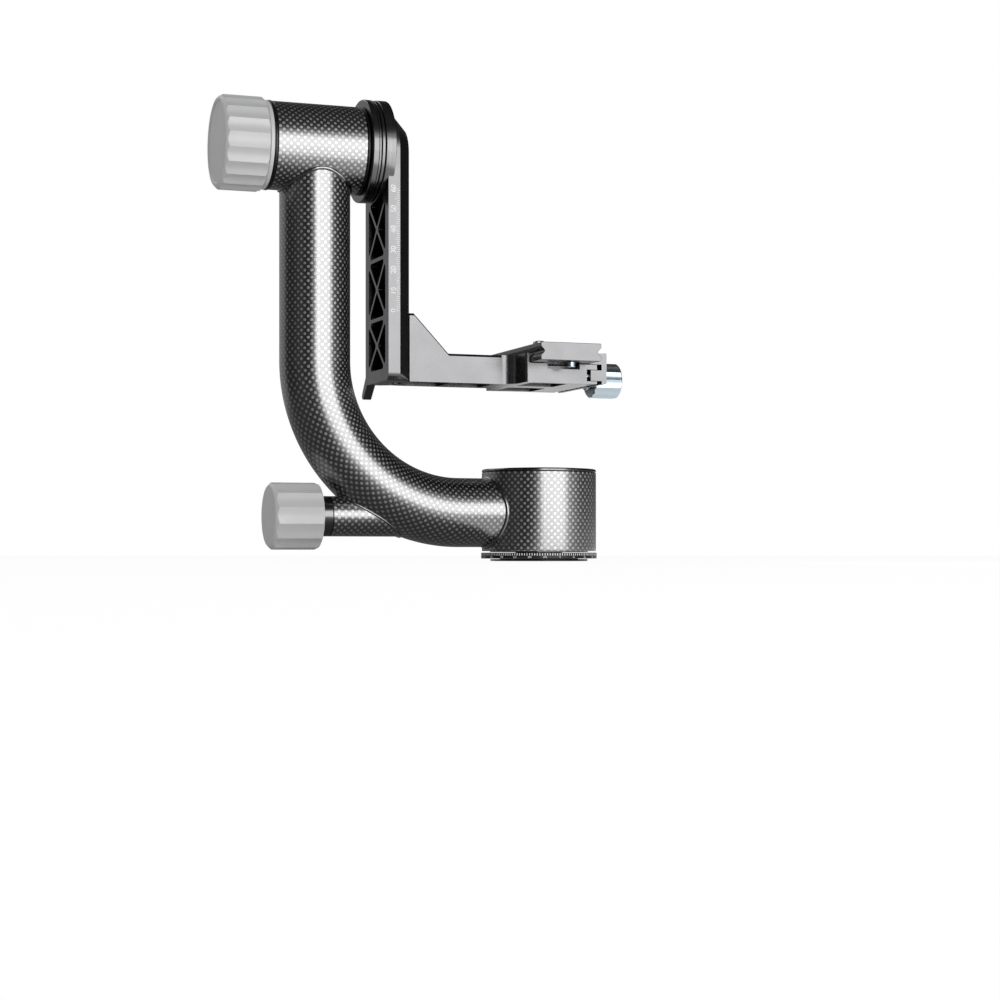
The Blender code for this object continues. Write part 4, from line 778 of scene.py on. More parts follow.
@dataclass
class PanBase:
    """The foot that stays with the tripod, and the degree ring round it."""

    tick_degrees: float = 2.5
    figure_degrees: int = 15
    tick_width: float = 0.45 * MM
    tick_length: float = 1.15 * MM
    figure_height: float = 0.95 * MM
    margin: float = 0.3 * MM
    ring_width: float = 9.7 * MM
    nose: float = 8 * MM
    neck: float = 40 * MM
    stem: float = 10 * MM
    stop: float = 12 * MM
    bore: float = 6.5 * MM
    bore_depth: float = 12.6 * MM

    def build(self) -> None:
        """Build the foot and the ring, with its ticks and figures."""
        low, high = box("base_plate")
        ring_low, ring_high = box("degree_ring")
        radius = ring_high[0]
        foot, core = high[0], ring_high[0] - self.ring_width
        shoulder, plate, lip = 5.7 * MM, 4.0 * MM, 1.0 * MM
        spindle = [
            (0, high[2]),
            (self.nose, high[2]),
            (self.nose, self.neck),
            (self.stem, self.neck),
            (self.stem, shoulder),
            (self.stop, shoulder),
            (self.stop, plate),
            (core, plate),
            (core, lip),
            (foot, lip),
            (foot, 0),
            (self.bore, 0),
            (self.bore, self.bore_depth),
            (0, self.bore_depth),
        ]
        Piece("foot", "base", Finishes.BLACK, "base_plate").turned(spindle, Axis.Z)
        rim = ring_profile(core + 0.3 * MM, radius, ring_low[2], ring_high[2])
        Piece("scale_ring", "base", Finishes.BLACK, "degree_ring").turned(rim, Axis.Z, edge=0.3 * MM, closed=True)
        self.mark(radius + PROUD, ring_low[2], ring_high[2])

    def mark(self, radius: float, low: float, high: float) -> None:
        """Wrap the ticks and figures round the ring.

        A flat point (x, y) goes to the angle x / radius from the front, at height y.

        Args:
            radius: Where they lie.
            low: The ring's foot.
            high: Its top.
        """
        parts = []
        top = high - self.margin
        count = round(360 / self.tick_degrees)
        half, foot = self.tick_width / 2, top - self.tick_length
        tick = np.array([(-half, foot), (half, foot), (half, top), (-half, top)])
        for i in range(count):
            parts.append((self.wrap(tick, radius, math.radians(i * self.tick_degrees)), [[0, 1, 2, 3]]))
        middle = low + self.margin + self.figure_height / 2
        for degrees in range(0, 360, self.figure_degrees):
            flat, faces = letters(str(degrees), self.figure_height)
            parts.append((self.wrap(flat + (0, middle), radius, math.radians(degrees)), faces))
        marks_piece("degree_marks", "base", parts)

    def wrap(self, flat: np.ndarray, radius: float, turn: float) -> np.ndarray:
        """Flat points on the cylinder, at an angle from the front."""
        angle = flat[:, 0] / radius + turn
        return np.stack([radius * np.sin(angle), -radius * np.cos(angle), flat[:, 1]], 1)


@dataclass
class PanSleeve:
    """The carbon sleeve with its black cap."""

    tows: int = 108
    pitch: float = 1.72 * MM
    wall: float = 3.8 * MM
    groove: float = 0.35 * MM
    step: float = 1 * MM

    def build(self) -> None:
        """Build the sleeve and the cap."""
        low, high = box("sleeve")
        radius, inner = high[0], high[0] - self.wall
        wall = ring_profile(inner, radius, low[2], high[2])
        sleeve = Piece("carbon_sleeve", "arm", None, "sleeve")
        tows = (self.tows, self.pitch)
        dress_carbon(sleeve.turned(wall, Axis.Z, edge=0.3 * MM, closed=True, tows=tows, step=self.step))
        cap_low, cap_high = box("pan_cap")
        seat = high[2] + 0.3 * MM
        edge = seat + 1.4 * MM
        top = cap_high[2]
        groove = self.groove
        profile = [
            (0, top),
            (radius * 0.5, top - 0.22 * MM),
            (radius * 0.86, edge + 0.22 * MM),
            (radius * 0.86 + groove, edge - 0.05 * MM),
            (radius * 0.86 + 2 * groove, edge + 0.16 * MM),
            (radius - 0.5 * MM, edge),
            (radius, edge - 0.5 * MM),
            (radius, seat),
            (17 * MM, seat),
            (17 * MM, cap_low[2]),
            (0, cap_low[2]),
        ]
        Piece("domed_cap", "arm", Finishes.RING, "pan_cap").turned(profile, Axis.Z, edge=0.15 * MM)


def dress_carbon(obj: bpy.types.Object) -> None:
    """Give a piece the carbon weave."""
    obj.data.materials.clear()
    obj.data.materials.append(PAINTS.carbon)


@dataclass
class BentArm:
    """The bent carbon tube, the resin seams where it meets the sleeve and the housing, and the lock's stub."""

    radius: float = 17.5 * MM
    wall: float = 3.0 * MM
    level: float = 24.6 * MM
    reach: float = 118.7 * MM
    bend: float = 74.5 * MM
    tilt_level: float = 204.2 * MM
    tows: int = 64
    pitch: float = 1.72 * MM
    sleeve_seat: float = 25.5 * MM
    housing_seat: float = 21.8 * MM
    seam: float = 1.1 * MM
    around: int = 144
    rows: int = 260
    stub_tows: int = 36
    stub_wall: float = 2 * MM
    stub_around: int = 96
    stub_rows: int = 40
    collar_core: float = 7.7 * MM
    collar_bore: float = 3.3 * MM

    def centre_line(self, share: np.ndarray) -> tuple[np.ndarray, np.ndarray, np.ndarray]:
        """Points of the centre line, the outward direction of the bend there, and the length to them.

        The line runs along -X, turns upwards on a quarter circle, and runs along +Z.

        Args:
            share: Shares of the whole length, from 0 at the sleeve to 1 at the housing.

        Returns:
            Points, outward directions and lengths.
        """
        flat = self.reach - self.bend
        quarter = self.bend * math.pi / 2
        total = flat + quarter + self.tilt_level - self.level - self.bend
        length = share * total
        turn = np.clip((length - flat) / self.bend, 0, math.pi / 2)
        x = -np.minimum(length, flat) - self.bend * np.sin(turn)
        z = self.level + self.bend * (1 - np.cos(turn)) + np.maximum(length - flat - quarter, 0)
        points = np.stack([x, 0 * x, z], -1)
        outward = np.stack([-np.sin(turn), 0 * x, -np.cos(turn)], -1)
        return points, outward, length

    def shell(self, radius: float) -> tuple[np.ndarray, np.ndarray]:
        """One wall of the tube, cut to the sleeve's liner at its foot and to the housing at its head.

        A point is the centre line plus the radius times (cos outward + sin Y). The foot row is moved along X to
        the cylinder of the liner, and the head row along Z to the cylinder of the housing.

        Args:
            radius: The wall's radius.

        Returns:
            Points and tow counts.
        """
        share = np.linspace(0.06, 0.94, self.rows)
        angle = np.linspace(0, 2 * math.pi, self.around + 1)
        centre, outward, length = self.centre_line(share)
        across = np.array([0.0, 1.0, 0.0])
        ring = radius * (np.cos(angle)[None, :, None] * outward[:, None] + np.sin(angle)[None, :, None] * across)
        points = centre[:, None] + ring
        y = points[0, :, 1]
        foot = points[:1].copy()
        foot[0, :, 0] = -np.sqrt(self.sleeve_seat**2 - y**2)
        head = points[-1:].copy()
        head[0, :, 2] = self.tilt_level - np.sqrt(self.housing_seat**2 - y**2)
        past_foot = points[:, :, 0].max(1) < foot[0, :, 0].min() - GAP
        short_of_head = points[:, :, 2].max(1) < head[0, :, 2].min() - GAP
        keep = past_foot & short_of_head
        points, length = points[keep], length[keep]
        points = np.concatenate([foot, points, head])
        length = np.concatenate([length[:1], length, length[-1:]])
        along = np.repeat(length[:, None], self.around + 1, 1)
        along[0] += points[1, :, 0] - points[0, :, 0]
        along[-1] += points[-1, :, 2] - points[-2, :, 2]
        hoops = np.repeat(angle[None] * self.tows / (2 * math.pi), len(points), 0)
        return points, np.stack([hoops, along / self.pitch], -1)

    def build(self) -> None:
        """Build the tube, its seams, the stub and the stub's collar."""
        outer, outer_uv = self.shell(self.radius)
        inner, inner_uv = self.shell(self.radius - self.wall)
        points = np.concatenate([outer, inner[::-1], outer[:1]])
        uv = np.concatenate([outer_uv, inner_uv[::-1], outer_uv[:1]])
        dress_carbon(Piece("bent_tube", "arm", None, "arm_tube").grid(points, uv))
        self.seams()
        self.stub()

    def seams(self) -> None:
        """Beads of resin along the two curves where the tube meets the sleeve and the housing."""
        angle = np.linspace(0, 2 * math.pi, 180, endpoint=False)
        y, z = self.radius * np.sin(angle), self.radius * np.cos(angle)
        sleeve = box("sleeve")[1][0]
        foot = np.stack([-np.sqrt(sleeve**2 - y**2), y, self.level + z], 1)
        Piece("sleeve_seam", "arm", Finishes.RESIN).grid(bead(foot, self.seam), loop_rows=True)
        housing = self.housing_seat - GAP
        head = np.stack([-self.reach + z, y, self.tilt_level - np.sqrt(housing**2 - y**2)], 1)
        Piece("housing_seam", "arm", Finishes.RESIN).grid(bead(head, self.seam), loop_rows=True)

    def bend_surface(self, y: np.ndarray, z: np.ndarray, grow: float) -> np.ndarray:
        """Where a line along X meets the outer side of the bend.

        The bend's outer side at a given Y is a circle of radius bend + sqrt(radius^2 - y^2) about its centre.

        Args:
            y: The line's Y.
            z: The line's Z.
            grow: Clearance added to the tube's radius.

        Returns:
            X of the meeting points.
        """
        reach = self.bend + np.sqrt((self.radius + grow) ** 2 - y**2)
        return self.bend - self.reach - np.sqrt(reach**2 - (z - self.level - self.bend) ** 2)

    def stub(self) -> None:
        """The stub tube that carries the pan lock, coped to the bend, its seam, and its turned collar."""
        low, high = box("pan_stub")
        level = (low[2] + high[2]) / 2
        radius = (high[2] - low[2]) / 2
        angle = np.linspace(0, 2 * math.pi, self.stub_around + 1)
        hoops = angle * self.stub_tows / (2 * math.pi)
        walls, maps = [], []
        for r in (radius, radius - self.stub_wall):
            y, z = r * np.sin(angle), level + r * np.cos(angle)
            end = self.bend_surface(y, z, GAP)
            share = np.linspace(0, 1, self.stub_rows)[:, None]
            x = low[0] + (end[None] - low[0]) * share
            walls.append(np.stack([x, np.broadcast_to(y, x.shape), np.broadcast_to(z, x.shape)], -1))
            maps.append(np.stack([np.broadcast_to(hoops, x.shape), (x - low[0]) / self.pitch], -1))
        points = np.concatenate([walls[0], walls[1][::-1], walls[0][:1]])
        uv = np.concatenate([maps[0], maps[1][::-1], maps[0][:1]])
        dress_carbon(Piece("lock_stub", "arm", None, "pan_stub").grid(points, uv))
        angle = np.linspace(0, 2 * math.pi, 120, endpoint=False)
        y, z = radius * np.sin(angle), level + radius * np.cos(angle)
        line = np.stack([self.bend_surface(y, z, 0.1 * MM), y, z], 1)
        Piece("stub_seam", "arm", Finishes.RESIN).grid(bead(line, 0.6 * self.seam), loop_rows=True)
        collar_low, collar_high = box("pan_stub_collar")
        shoulder = low[0] - GAP
        profile = [
            (self.collar_core, collar_high[0]),
            (self.collar_core, shoulder),
            (radius, shoulder),
            (radius, collar_low[0]),
            (self.collar_bore, collar_low[0]),
            (self.collar_bore, collar_high[0]),
        ]
        collar = Piece("stub_collar", "arm", Finishes.RING, "pan_stub_collar")
        collar.turned(profile, Axis.X, (0, 0, level), closed=True, around=self.stub_around)


@dataclass
class Knob:
    """A fluted knob: wide concave flutes between sharp ridges, and a face set into a rim.

    The fluted radius at an angle is the outer radius less the depth times cos(pi u), where u runs from -1/2
    to 1/2 between two ridges.
    """

    name: str
    node: str
    body: str
    axis: Axis
    radius: float
    flutes: int
    depth: float
    face_out: float
    finish: Finishes = Finishes.GREY
    chamfer: float = 1.8 * MM
    back_chamfer: float = 0.8 * MM
    rim: float = 3.5 * MM
    recess: float = 0.6 * MM
    bore: float = 3.3 * MM
    bore_depth: float = 16.3 * MM
    turn: float = 0.0
    per_flute: int = 12
    step: float = 0.35 * MM

    def outline(self, angle: np.ndarray) -> np.ndarray:
        """The fluted radius at each angle."""
        share = np.mod((angle - self.turn) * self.flutes / (2 * math.pi), 1.0) - 0.5
        return self.radius - self.depth * np.cos(math.pi * share)

    def build(self) -> None:
        """Build the knob from its CAD node's place; face_out is -1 or +1 along the axis."""
        low, high = box(self.node)
        index = "XYZ".index(self.axis.value)
        centre = (low + high) / 2
        centre[index] = 0
        face, back = (low[index], high[index]) if self.face_out < 0 else (high[index], low[index])
        into = 1 if back > face else -1
        rim = self.radius - self.chamfer
        profile = [
            (0, back - into * self.bore_depth),
            (self.bore, back - into * self.bore_depth),
            (self.bore, back),
            (self.radius - self.back_chamfer, back),
            (self.radius, back - into * self.back_chamfer),
            (self.radius, face + into * self.chamfer),
            (rim, face),
        ]
        edges = [0, 0, 0.2 * MM, 0.3 * MM, 0.3 * MM, 0.5 * MM, 0.5 * MM]
        if self.recess:
            profile += [(rim - self.rim, face), (rim - self.rim - self.recess, face + into * self.recess)]
            edges += [0.12 * MM, 0.12 * MM]
        profile.append((0, face + into * self.recess))
        edges.append(0)
        around = self.flutes * self.per_flute
        knob = Piece(self.name, self.body, self.finish, self.node)
        knob.turned(profile, self.axis, centre, edge=edges, around=around, flutes=self.outline, step=self.step)


@dataclass
class TiltHead:
    """The carbon tilt housing with its rings, the flange stack, the thrust collar and the rotating hub."""

    tows: int = 80
    pitch: float = 1.72 * MM
    step: float = 1 * MM
    wall: float = 3.5 * MM
    groove: float = 0.4 * MM
    shaft_bore: float = 5.3 * MM
    boss: float = 14 * MM
    boss_hole: float = 14.3 * MM
    liner: float = 17.7 * MM
    disc: float = 5.3 * MM
    rim_depth: float = 3.1 * MM
    screw_hole: float = 3.3 * MM
    screw_seat: float = 4.8 * MM

    def build(self) -> None:
        """Build the housing, the turned stack and the hub."""
        low, high = box("tilt_housing")
        level = (0, 0, (low[2] + high[2]) / 2)
        radius = (high[2] - low[2]) / 2
        inner = radius - self.wall
        tube = Piece("tilt_tube", "arm", None, "tilt_housing")
        wall = ring_profile(inner, radius, low[0], high[0])
        tows = (self.tows, self.pitch)
        dress_carbon(tube.turned(wall, Axis.X, level, edge=0.25 * MM, closed=True, tows=tows, step=self.step))
        for side, hole in (("left", self.shaft_bore), ("right", inner)):
            node = f"tilt_end_ring_{side}"
            ring_low, ring_high = box(node)
            rim = ring_profile(hole, radius + GAP, ring_low[0], ring_high[0])
            Piece(f"end_ring_{side}", "arm", Finishes.BLACK, node).turned(rim, Axis.X, level, edge=0.2 * MM, closed=True)
        self.flange(level)
        self.washer(Piece("friction_washer", "arm", Finishes.RING, "friction_ring"), self.boss_hole, level, 0.3 * MM)
        thrust = Piece("thrust_collar", "tilt_thrust", Finishes.GREY, "tilt_thrust_collar")
        self.washer(thrust, self.shaft_bore, level, 0.4 * MM)
        self.hub(level)

    def washer(self, piece: Piece, hole: float, level: Sequence[float], edge: float) -> None:
        """A plain ring round the tilt axis, as wide and thick as the CAD node that it stands for.

        Args:
            piece: The piece to build.
            hole: Radius of its hole.
            level: A point of the tilt axis.
            edge: Rounding of its corners.
        """
        low, high = box(piece.replaced[0])
        rim = ring_profile(hole, (high[2] - low[2]) / 2, low[0], high[0])
        piece.turned(rim, Axis.X, level, edge=edge, closed=True)

    def flange(self, level: Sequence[float]) -> None:
        """The flange with a fine groove round its rim, and its liner inside the housing."""
        low, high = box("tilt_flange")
        outer = (high[2] - low[2]) / 2
        left = high[0] - 4.3 * MM
        groove = high[0] - 1.5 * MM
        profile = [
            (outer, high[0]),
            (outer, groove + self.groove),
            (outer - self.groove, groove + self.groove / 2),
            (outer, groove),
            (outer, left),
            (self.liner, left),
            (self.liner, low[0]),
            (self.boss_hole, low[0]),
            (self.boss_hole, high[0]),
        ]
        edges = [0.5 * MM, 0.1 * MM, 0.05 * MM, 0.1 * MM, 0.5 * MM, 0, 0, 0, 0.2 * MM]
        flange = Piece("tilt_stack_flange", "arm", Finishes.RING, "tilt_flange")
        flange.turned(profile, Axis.X, level, edge=edges, closed=True)

    def hub(self, level: Sequence[float]) -> None:
        """The hub: a disc with its boss, and a rim round the swing plate's seat, open at its foot."""
        low, high = box("tilt_hub")
        outer = (high[2] - low[2]) / 2
        floor = high[0] - self.rim_depth
        left = high[0] - self.disc
        bottom = floor - self.screw_seat
        profile = [
            (self.shaft_bore, floor),
            (outer, floor),
            (outer, left),
            (self.boss, left),
            (self.boss, low[0]),
            (self.screw_hole, low[0]),
            (self.screw_hole, bottom),
            (self.shaft_bore, bottom),
        ]
        Piece("hub_disc", "hub", Finishes.RING, "tilt_hub").turned(
            profile, Axis.X, level, edge=[0, 0, 0.5 * MM, 0, 0.3 * MM, 0, 0, 0], closed=True
        )
        _, plate = box("swing_plate")
        seat = plate[1] + GAP
        crown = plate[2] - seat + GAP
        foot = math.asin(seat / outer) - math.pi / 2
        around = np.linspace(foot, math.pi - foot, 120)
        inside = np.linspace(math.pi, 0, 90)
        rim = np.stack([outer * np.cos(around), level[2] + outer * np.sin(around)], 1)
        arch = np.stack([seat * np.cos(inside), crown + seat * np.sin(inside)], 1)
        edge = 0.4 * MM
        stations = [(0.0, floor), (0.0, high[0] - edge), (0.3 * edge, high[0] - 0.3 * edge), (edge, high[0])]
        Piece("hub_rim", "hub", Finishes.RING).carried([np.concatenate([rim, arch])], stations, Plane.YZ)


@dataclass
class SwingPlate:
    """The hanging plate with its truss pockets and rail slot, its millimetre scale, and the lock lever."""

    edge: float = 0.3 * MM
    half_width: float = 20.2 * MM
    chamfer: float = 6.5 * MM
    zero: float = 123.2 * MM
    span: int = 60
    tick: float = 0.2 * MM
    ticks: tuple[float, float, float] = (2.9 * MM, 2.3 * MM, 1.6 * MM)
    margin: float = 0.35 * MM
    figure_height: float = 2.7 * MM
    figure_row: float = 2.35 * MM

    def build(self) -> None:
        """Build the plate, the scale and the lever."""
        low, high = box("swing_plate")
        Piece("hanging_plate", "hub", Finishes.DARK).machined("swing_plate", self.edge)
        self.scale(low[0], high[0] - self.chamfer)
        Piece("lock_lever", "lever", Finishes.DARK).machined("foot_lever", self.edge)

    def scale(self, left: float, right: float) -> None:
        """White ticks every millimetre and figures every ten, on the plate's front edge.

        Args:
            left: The front edge's left side.
            right: Its right side.
        """
        y = -self.half_width - PROUD
        parts = []
        end = right - self.margin
        for i in range(self.span + 1):
            start = end - self.ticks[0 if i % 10 == 0 else 1 if i % 5 == 0 else 2]
            foot = self.zero + i * MM - self.tick / 2
            top = foot + self.tick
            parts.append((np.array([(start, y, foot), (end, y, foot), (end, y, top), (start, y, top)]), [[0, 1, 2, 3]]))
        for value in range(0, self.span + 1, 10):
            flat, faces = letters(str(value), self.figure_height)
            x = left + self.figure_row - flat[:, 1]
            z = self.zero + value * MM + flat[:, 0]
            parts.append((np.stack([x, np.full_like(x, y), z], 1), faces))
        marks_piece("height_marks", "hub", parts)


@dataclass
class Platform:
    """The machined platform, its clamp, and the quick plate with its pads and screws."""

    edge: float = 0.3 * MM

    def build(self) -> None:
        """Build the machined blocks, the fasteners and the pads."""
        Piece("machined_platform", "carriage", Finishes.DARK).machined("platform", self.edge)
        Piece("sliding_jaw", "jaw", Finishes.DARK).machined("clamp_jaw", 2 * self.edge)
        Piece("release_plate", "quick", Finishes.DARK).machined("quick_plate", self.edge)
        for end in ("front", "rear"):
            self.stop(end)
            self.pad(end)
        washer_low, washer_high = box("clamp_washer")
        level = (0, 0, (washer_low[2] + washer_high[2]) / 2)
        rim = ring_profile(3.3 * MM, 5 * MM, washer_low[0], washer_high[0])
        washer = Piece("knob_washer", "clamp_lock", Finishes.STEEL, "clamp_washer")
        washer.turned(rim, Axis.X, level, closed=True, around=FASTENER_ROUND)
        low, high = box("camera_washer")
        centre = (low + high) / 2
        rim = ring_profile(3.4 * MM, 6 * MM, low[2], high[2])
        Piece("slot_washer", "camera_clip", Finishes.STEEL, "camera_washer").turned(
            rim, Axis.Z, (centre[0], centre[1], 0), edge=0.15 * MM, closed=True, around=FASTENER_ROUND
        )

    def stop(self, end: str) -> None:
        """One stop screw, head down, with a hole in its head."""
        low, high = box(f"stop_screw_{end}")
        centre = (low + high) / 2
        hole, shank, rim = 0.9 * MM, 1.2 * MM, 2 * MM
        floor, neck = low[2] + 0.5 * MM, low[2] + 2.5 * MM
        profile = [(0, floor), (hole, floor), (hole, low[2]), (rim, low[2]), (rim, neck)]
        profile += [(shank, neck), (shank, high[2]), (0, high[2])]
        screw = Piece(f"stop_{end}", "quick", Finishes.POLISHED, f"stop_screw_{end}")
        screw.turned(profile, Axis.Z, (centre[0], centre[1], 0), edge=0.25 * MM, around=SMALL_ROUND)

    def pad(self, end: str) -> None:
        """One rubber pad with rounded corners and a softened rim."""
        low, high = box(f"grip_pad_{end}")
        corners = [(low[0], low[1]), (high[0], low[1]), (high[0], high[1]), (low[0], high[1])]
        outline = soften(corners, 1.7 * MM, closed=True, steps=6)
        rim = [(0.0, low[2]), (0.0, high[2] - 0.2 * MM), (0.06 * MM, high[2] - 0.06 * MM), (0.2 * MM, high[2])]
        Piece(f"ribbed_pad_{end}", "quick", Finishes.RUBBER, f"grip_pad_{end}").carried([outline], rim, Plane.XY)


def knobs() -> list[Knob]:
    """The three fluted knobs."""
    return [
        Knob(
            "tilt_lock_knob", "tilt_knob", "tilt_lock", Axis.X, 23 * MM, 20, 0.9 * MM, -1,
            rim=1.2 * MM, bore=8.3 * MM, bore_depth=14.3 * MM, turn=math.radians(15),
        ),
        Knob("pan_lock_knob", "pan_knob", "pan_lock", Axis.X, 16.7 * MM, 13, 0.9 * MM, -1, recess=0.0),
        Knob(
            "clamp_lock_knob", "clamp_knob", "clamp_lock", Axis.X, 9.1 * MM, 14, 0.5 * MM, 1, Finishes.POLISHED,
            chamfer=0.8 * MM, rim=1.2 * MM, recess=0.3 * MM, bore_depth=10.3 * MM,
        ),
    ]


@dataclass
class Studio:
    """The floor, the pale surround, the soft lights, the reflected cards and the camera.

    Places are given from the camera: a share to its right, a height, and a distance ahead of it.
    """

    eye: tuple[float, float, float] = (-0.3839, -1.0018, 0.0031)
    heading: float = math.radians(19.9)
    lens: float = 75.13
    shift: float = 0.055
    surround: float = 0.45
    floor_reach: float = 12.0
    floor_glow: float = 0.95

    def spot(self, right: float, up: float, ahead: float) -> Vector:
        """A place from the camera's own directions."""
        forward = Vector((math.sin(self.heading), math.cos(self.heading), 0))
        side = Vector((math.cos(self.heading), -math.sin(self.heading), 0))
        return Vector(self.eye) + side * right + forward * ahead + Vector((0, 0, up))

    def camera(self) -> None:
        """The camera, level, at the photograph's angle."""
        data = bpy.data.cameras.new("camera")
        data.lens, data.sensor_width, data.shift_y = self.lens, 36.0, self.shift
        data.clip_start, data.clip_end = 0.01, 50.0
        obj = bpy.data.objects.new("camera", data)
        obj.location = self.eye
        obj.rotation_euler = (math.pi / 2, 0, -self.heading)
        bpy.context.scene.collection.objects.link(obj)
        bpy.context.scene.camera = obj

    def lamp(self, name: str, place: Vector, width: float, height: float, power: float) -> None:
        """A soft rectangular lamp that faces the object."""
        data = bpy.data.lights.new(name, "AREA")
        data.shape, data.size, data.size_y, data.energy = "RECTANGLE", width, height, power
        obj = bpy.data.objects.new(name, data)
        aim = Vector((-0.06, 0.0, 0.12))
        obj.matrix_world = Matrix.Translation(place) @ (aim - place).to_track_quat("-Z", "Y").to_matrix().to_4x4()
        obj.visible_camera = False
        bpy.context.scene.collection.objects.link(obj)

    def card(self, name: str, corners: Sequence[Vector], level: float) -> None:
        """A card of an even level that only shows in reflections."""
        mesh = bpy.data.meshes.new(name)
        mesh.from_pydata([tuple(c) for c in corners], [], [[0, 1, 2, 3]])
        obj = bpy.data.objects.new(name, mesh)
        made = bpy.data.materials.new(name)
        made.use_nodes = True
        shader = made.node_tree.nodes["Principled BSDF"]
        shader.inputs["Base Color"].default_value = (0, 0, 0, 1)
        shader.inputs["Emission Color"].default_value = (1, 1, 1, 1)
        shader.inputs["Emission Strength"].default_value = level
        mesh.materials.append(made)
        bpy.context.scene.collection.objects.link(obj)
        obj.visible_camera = obj.visible_diffuse = obj.visible_shadow = obj.visible_transmission = False

    def pale_share(self, net: Net) -> bpy.types.NodeSocket:
        """One for camera, glossy and transmission rays."""
        path = net.node("ShaderNodeLightPath")
        seen = net.math("MAXIMUM", path.outputs["Is Camera Ray"], path.outputs["Is Glossy Ray"])
        return net.math("MAXIMUM", seen, path.outputs["Is Transmission Ray"])

    def world(self) -> None:
        """A white surround to the eye, which lights the object more softly."""
        world = bpy.data.worlds.new("surround")
        bpy.context.scene.world = world
        world.use_nodes = True
        net = Net(world.node_tree)
        back = world.node_tree.nodes["Background"]
        back.inputs["Color"].default_value = (1, 1, 1, 1)
        share = self.pale_share(net)
        net.link(net.math("MULTIPLY_ADD", share, 1.0 - self.surround, self.surround), back.inputs["Strength"])

    def floor(self) -> None:
        """A plain pale floor that keeps the shadow."""
        mesh = bpy.data.meshes.new("floor")
        reach = self.floor_reach
        corners = [(-reach, -reach, 0), (reach, -reach, 0), (reach, reach, 0), (-reach, reach, 0)]
        mesh.from_pydata(corners, [], [[0, 1, 2, 3]])
        obj = bpy.data.objects.new("floor", mesh)
        obj.location.z = -0.0002
        made = bpy.data.materials.new("pale_floor")
        made.use_nodes = True
        net = Net(made.node_tree)
        shader = made.node_tree.nodes["Principled BSDF"]
        shader.inputs["Base Color"].default_value = (0.88, 0.88, 0.88, 1)
        shader.inputs["Roughness"].default_value = 0.85
        glow = net.node("ShaderNodeEmission")
        blend = net.node("ShaderNodeMixShader")
        net.link(net.math("MULTIPLY", self.pale_share(net), self.floor_glow), blend.inputs[0])
        net.link(shader.outputs[0], blend.inputs[1])
        net.link(glow.outputs[0], blend.inputs[2])
        net.link(blend.outputs[0], made.node_tree.nodes["Material Output"].inputs["Surface"])
        mesh.materials.append(made)
        bpy.context.scene.collection.objects.link(obj)

    def build(self) -> None:
        """Set up the whole studio."""
        bpy.context.scene.view_settings.view_transform = "Standard"
        self.camera()
        self.world()
        self.floor()
        self.lamp("front_softbox", self.spot(0.66, 0.34, -0.02), 1.12, 0.68, 7.4)
        self.lamp("near_strip", self.spot(0.16, 0.34, 0.0), 0.12, 0.68, 0.8)
        self.lamp("rear_fill", self.spot(-0.7, 0.9, 1.7), 0.8, 0.8, 3.0)
        low, high = 0.0, 1.6
        walls = {
            "near_left_card": ((-0.5, 0.3), (-0.57, 1.15), 0.04),
            "far_left_card": ((-0.57, 1.15), (-0.75, 2.6), 0.36),
            "back_left_card": ((-0.5, 0.3), (-0.9, -0.8), 0.02),
            "front_card": ((-0.9, -0.8), (0.0, -0.8), 0.03),
            "right_card": ((1.35, 0.3), (0.9, 2.6), 0.02),
            "back_card": ((-0.75, 2.6), (0.9, 2.6), 0.05),
        }
        for name, ((r0, a0), (r1, a1), level) in walls.items():
            places = ((r0, low, a0), (r1, low, a1), (r1, high, a1), (r0, high, a0))
            self.card(name, [self.spot(*place) for place in places], level)
        sheets = {
            "top_card": ((-0.9, 1.4), (-0.8, 2.6), high, 0.03),
            "low_left_card": ((-0.9, 0.0), (-0.8, 2.6), 0.001, 0.10),
            "low_right_card": ((0.12, 1.3), (0.0, 0.95), 0.001, 3.0),
        }
        for name, ((r0, r1), (a0, a1), up, level) in sheets.items():
            corners = [self.spot(right, up, ahead) for right, ahead in ((r0, a0), (r1, a0), (r1, a1), (r0, a1))]
            for corner in corners:
                corner.z = up
            self.card(name, corners, level)


KEPT = {
    "thread_insert": Finishes.STEEL,
    "spindle_nut": Finishes.STEEL,
    "pan_housing": Finishes.DARK,
    "pan_bearing_lower": Finishes.STEEL,
    "pan_bearing_upper": Finishes.STEEL,
    "tilt_bearing_left": Finishes.STEEL,
    "tilt_bearing_right": Finishes.STEEL,
    "pan_brake_shoe": Finishes.BRASS,
    "pan_lock_screw": Finishes.STEEL,
    "tilt_knob_insert": Finishes.BRASS,
    "tilt_shaft": Finishes.STEEL,
    "hub_screw": Finishes.STEEL,
    "plate_screw_lower": Finishes.BLACK,
    "plate_screw_upper": Finishes.BLACK,
    "lever_pin": Finishes.STEEL,
    "guide_pin_front": Finishes.POLISHED,
    "guide_pin_rear": Finishes.POLISHED,
    "clamp_screw": Finishes.STEEL,
    "camera_screw": Finishes.STEEL,
}


def clear_strays() -> None:
    """Remove whatever Blender starts with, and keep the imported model."""
    kept = {*frame["nodes"].values(), *frame["bodies"].values()}
    for obj in list(bpy.data.objects):
        if obj not in kept:
            bpy.data.objects.remove(obj, do_unlink=True)


def dress_kept() -> None:
    """Give each CAD node that stays its finish."""
    for node, finish in KEPT.items():
        mesh = frame["nodes"][node].data
        mesh.materials.clear()
        mesh.materials.append(PAINTS[finish])


def main() -> None:
    """Build the mount's looks and the studio."""
    logging.basicConfig(level=logging.INFO, format="%(message)s")
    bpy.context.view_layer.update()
    dress_kept()
    for part in (PanBase(), PanSleeve(), BentArm(), TiltHead(), SwingPlate(), Platform(), *knobs(), Studio()):
        part.build()
        LOG.info("%s built", type(part).__name__)


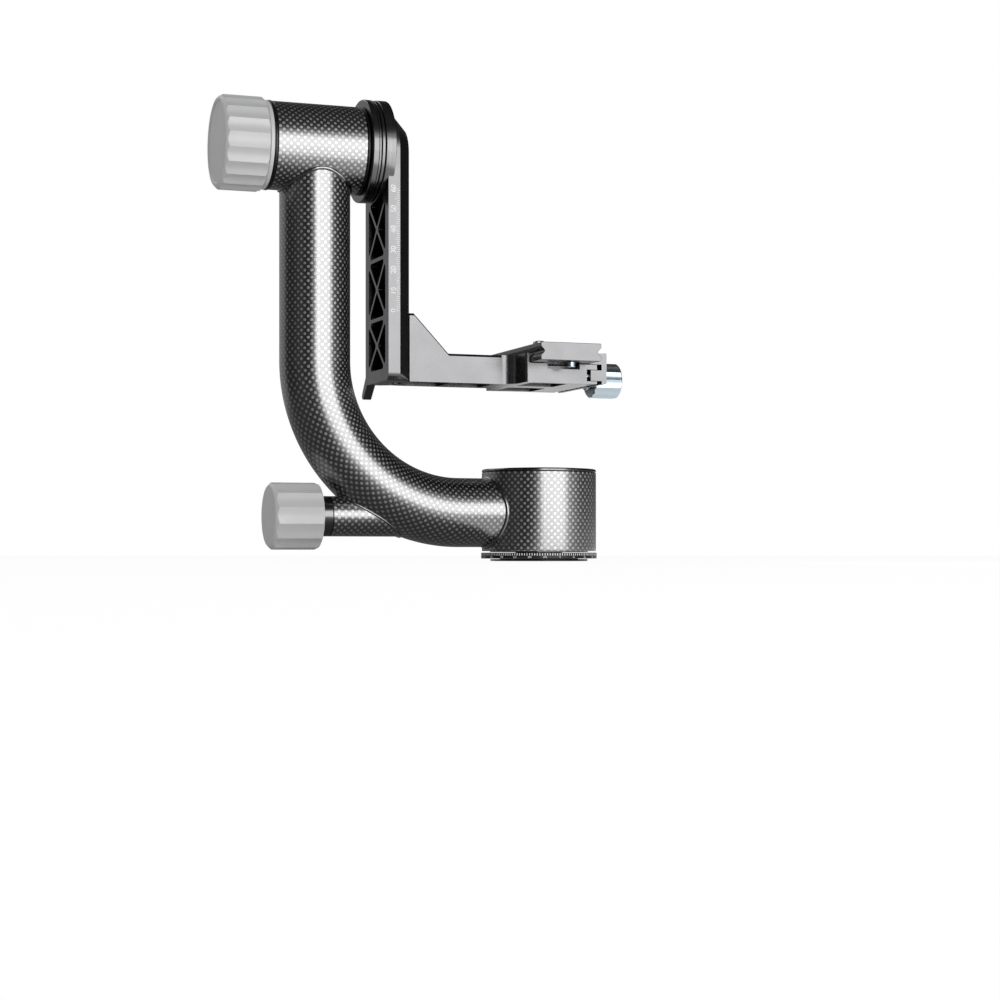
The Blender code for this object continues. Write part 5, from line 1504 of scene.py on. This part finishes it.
if __name__ == "__main__":
    clear_strays()
    PAINTS = Paints()
    main()
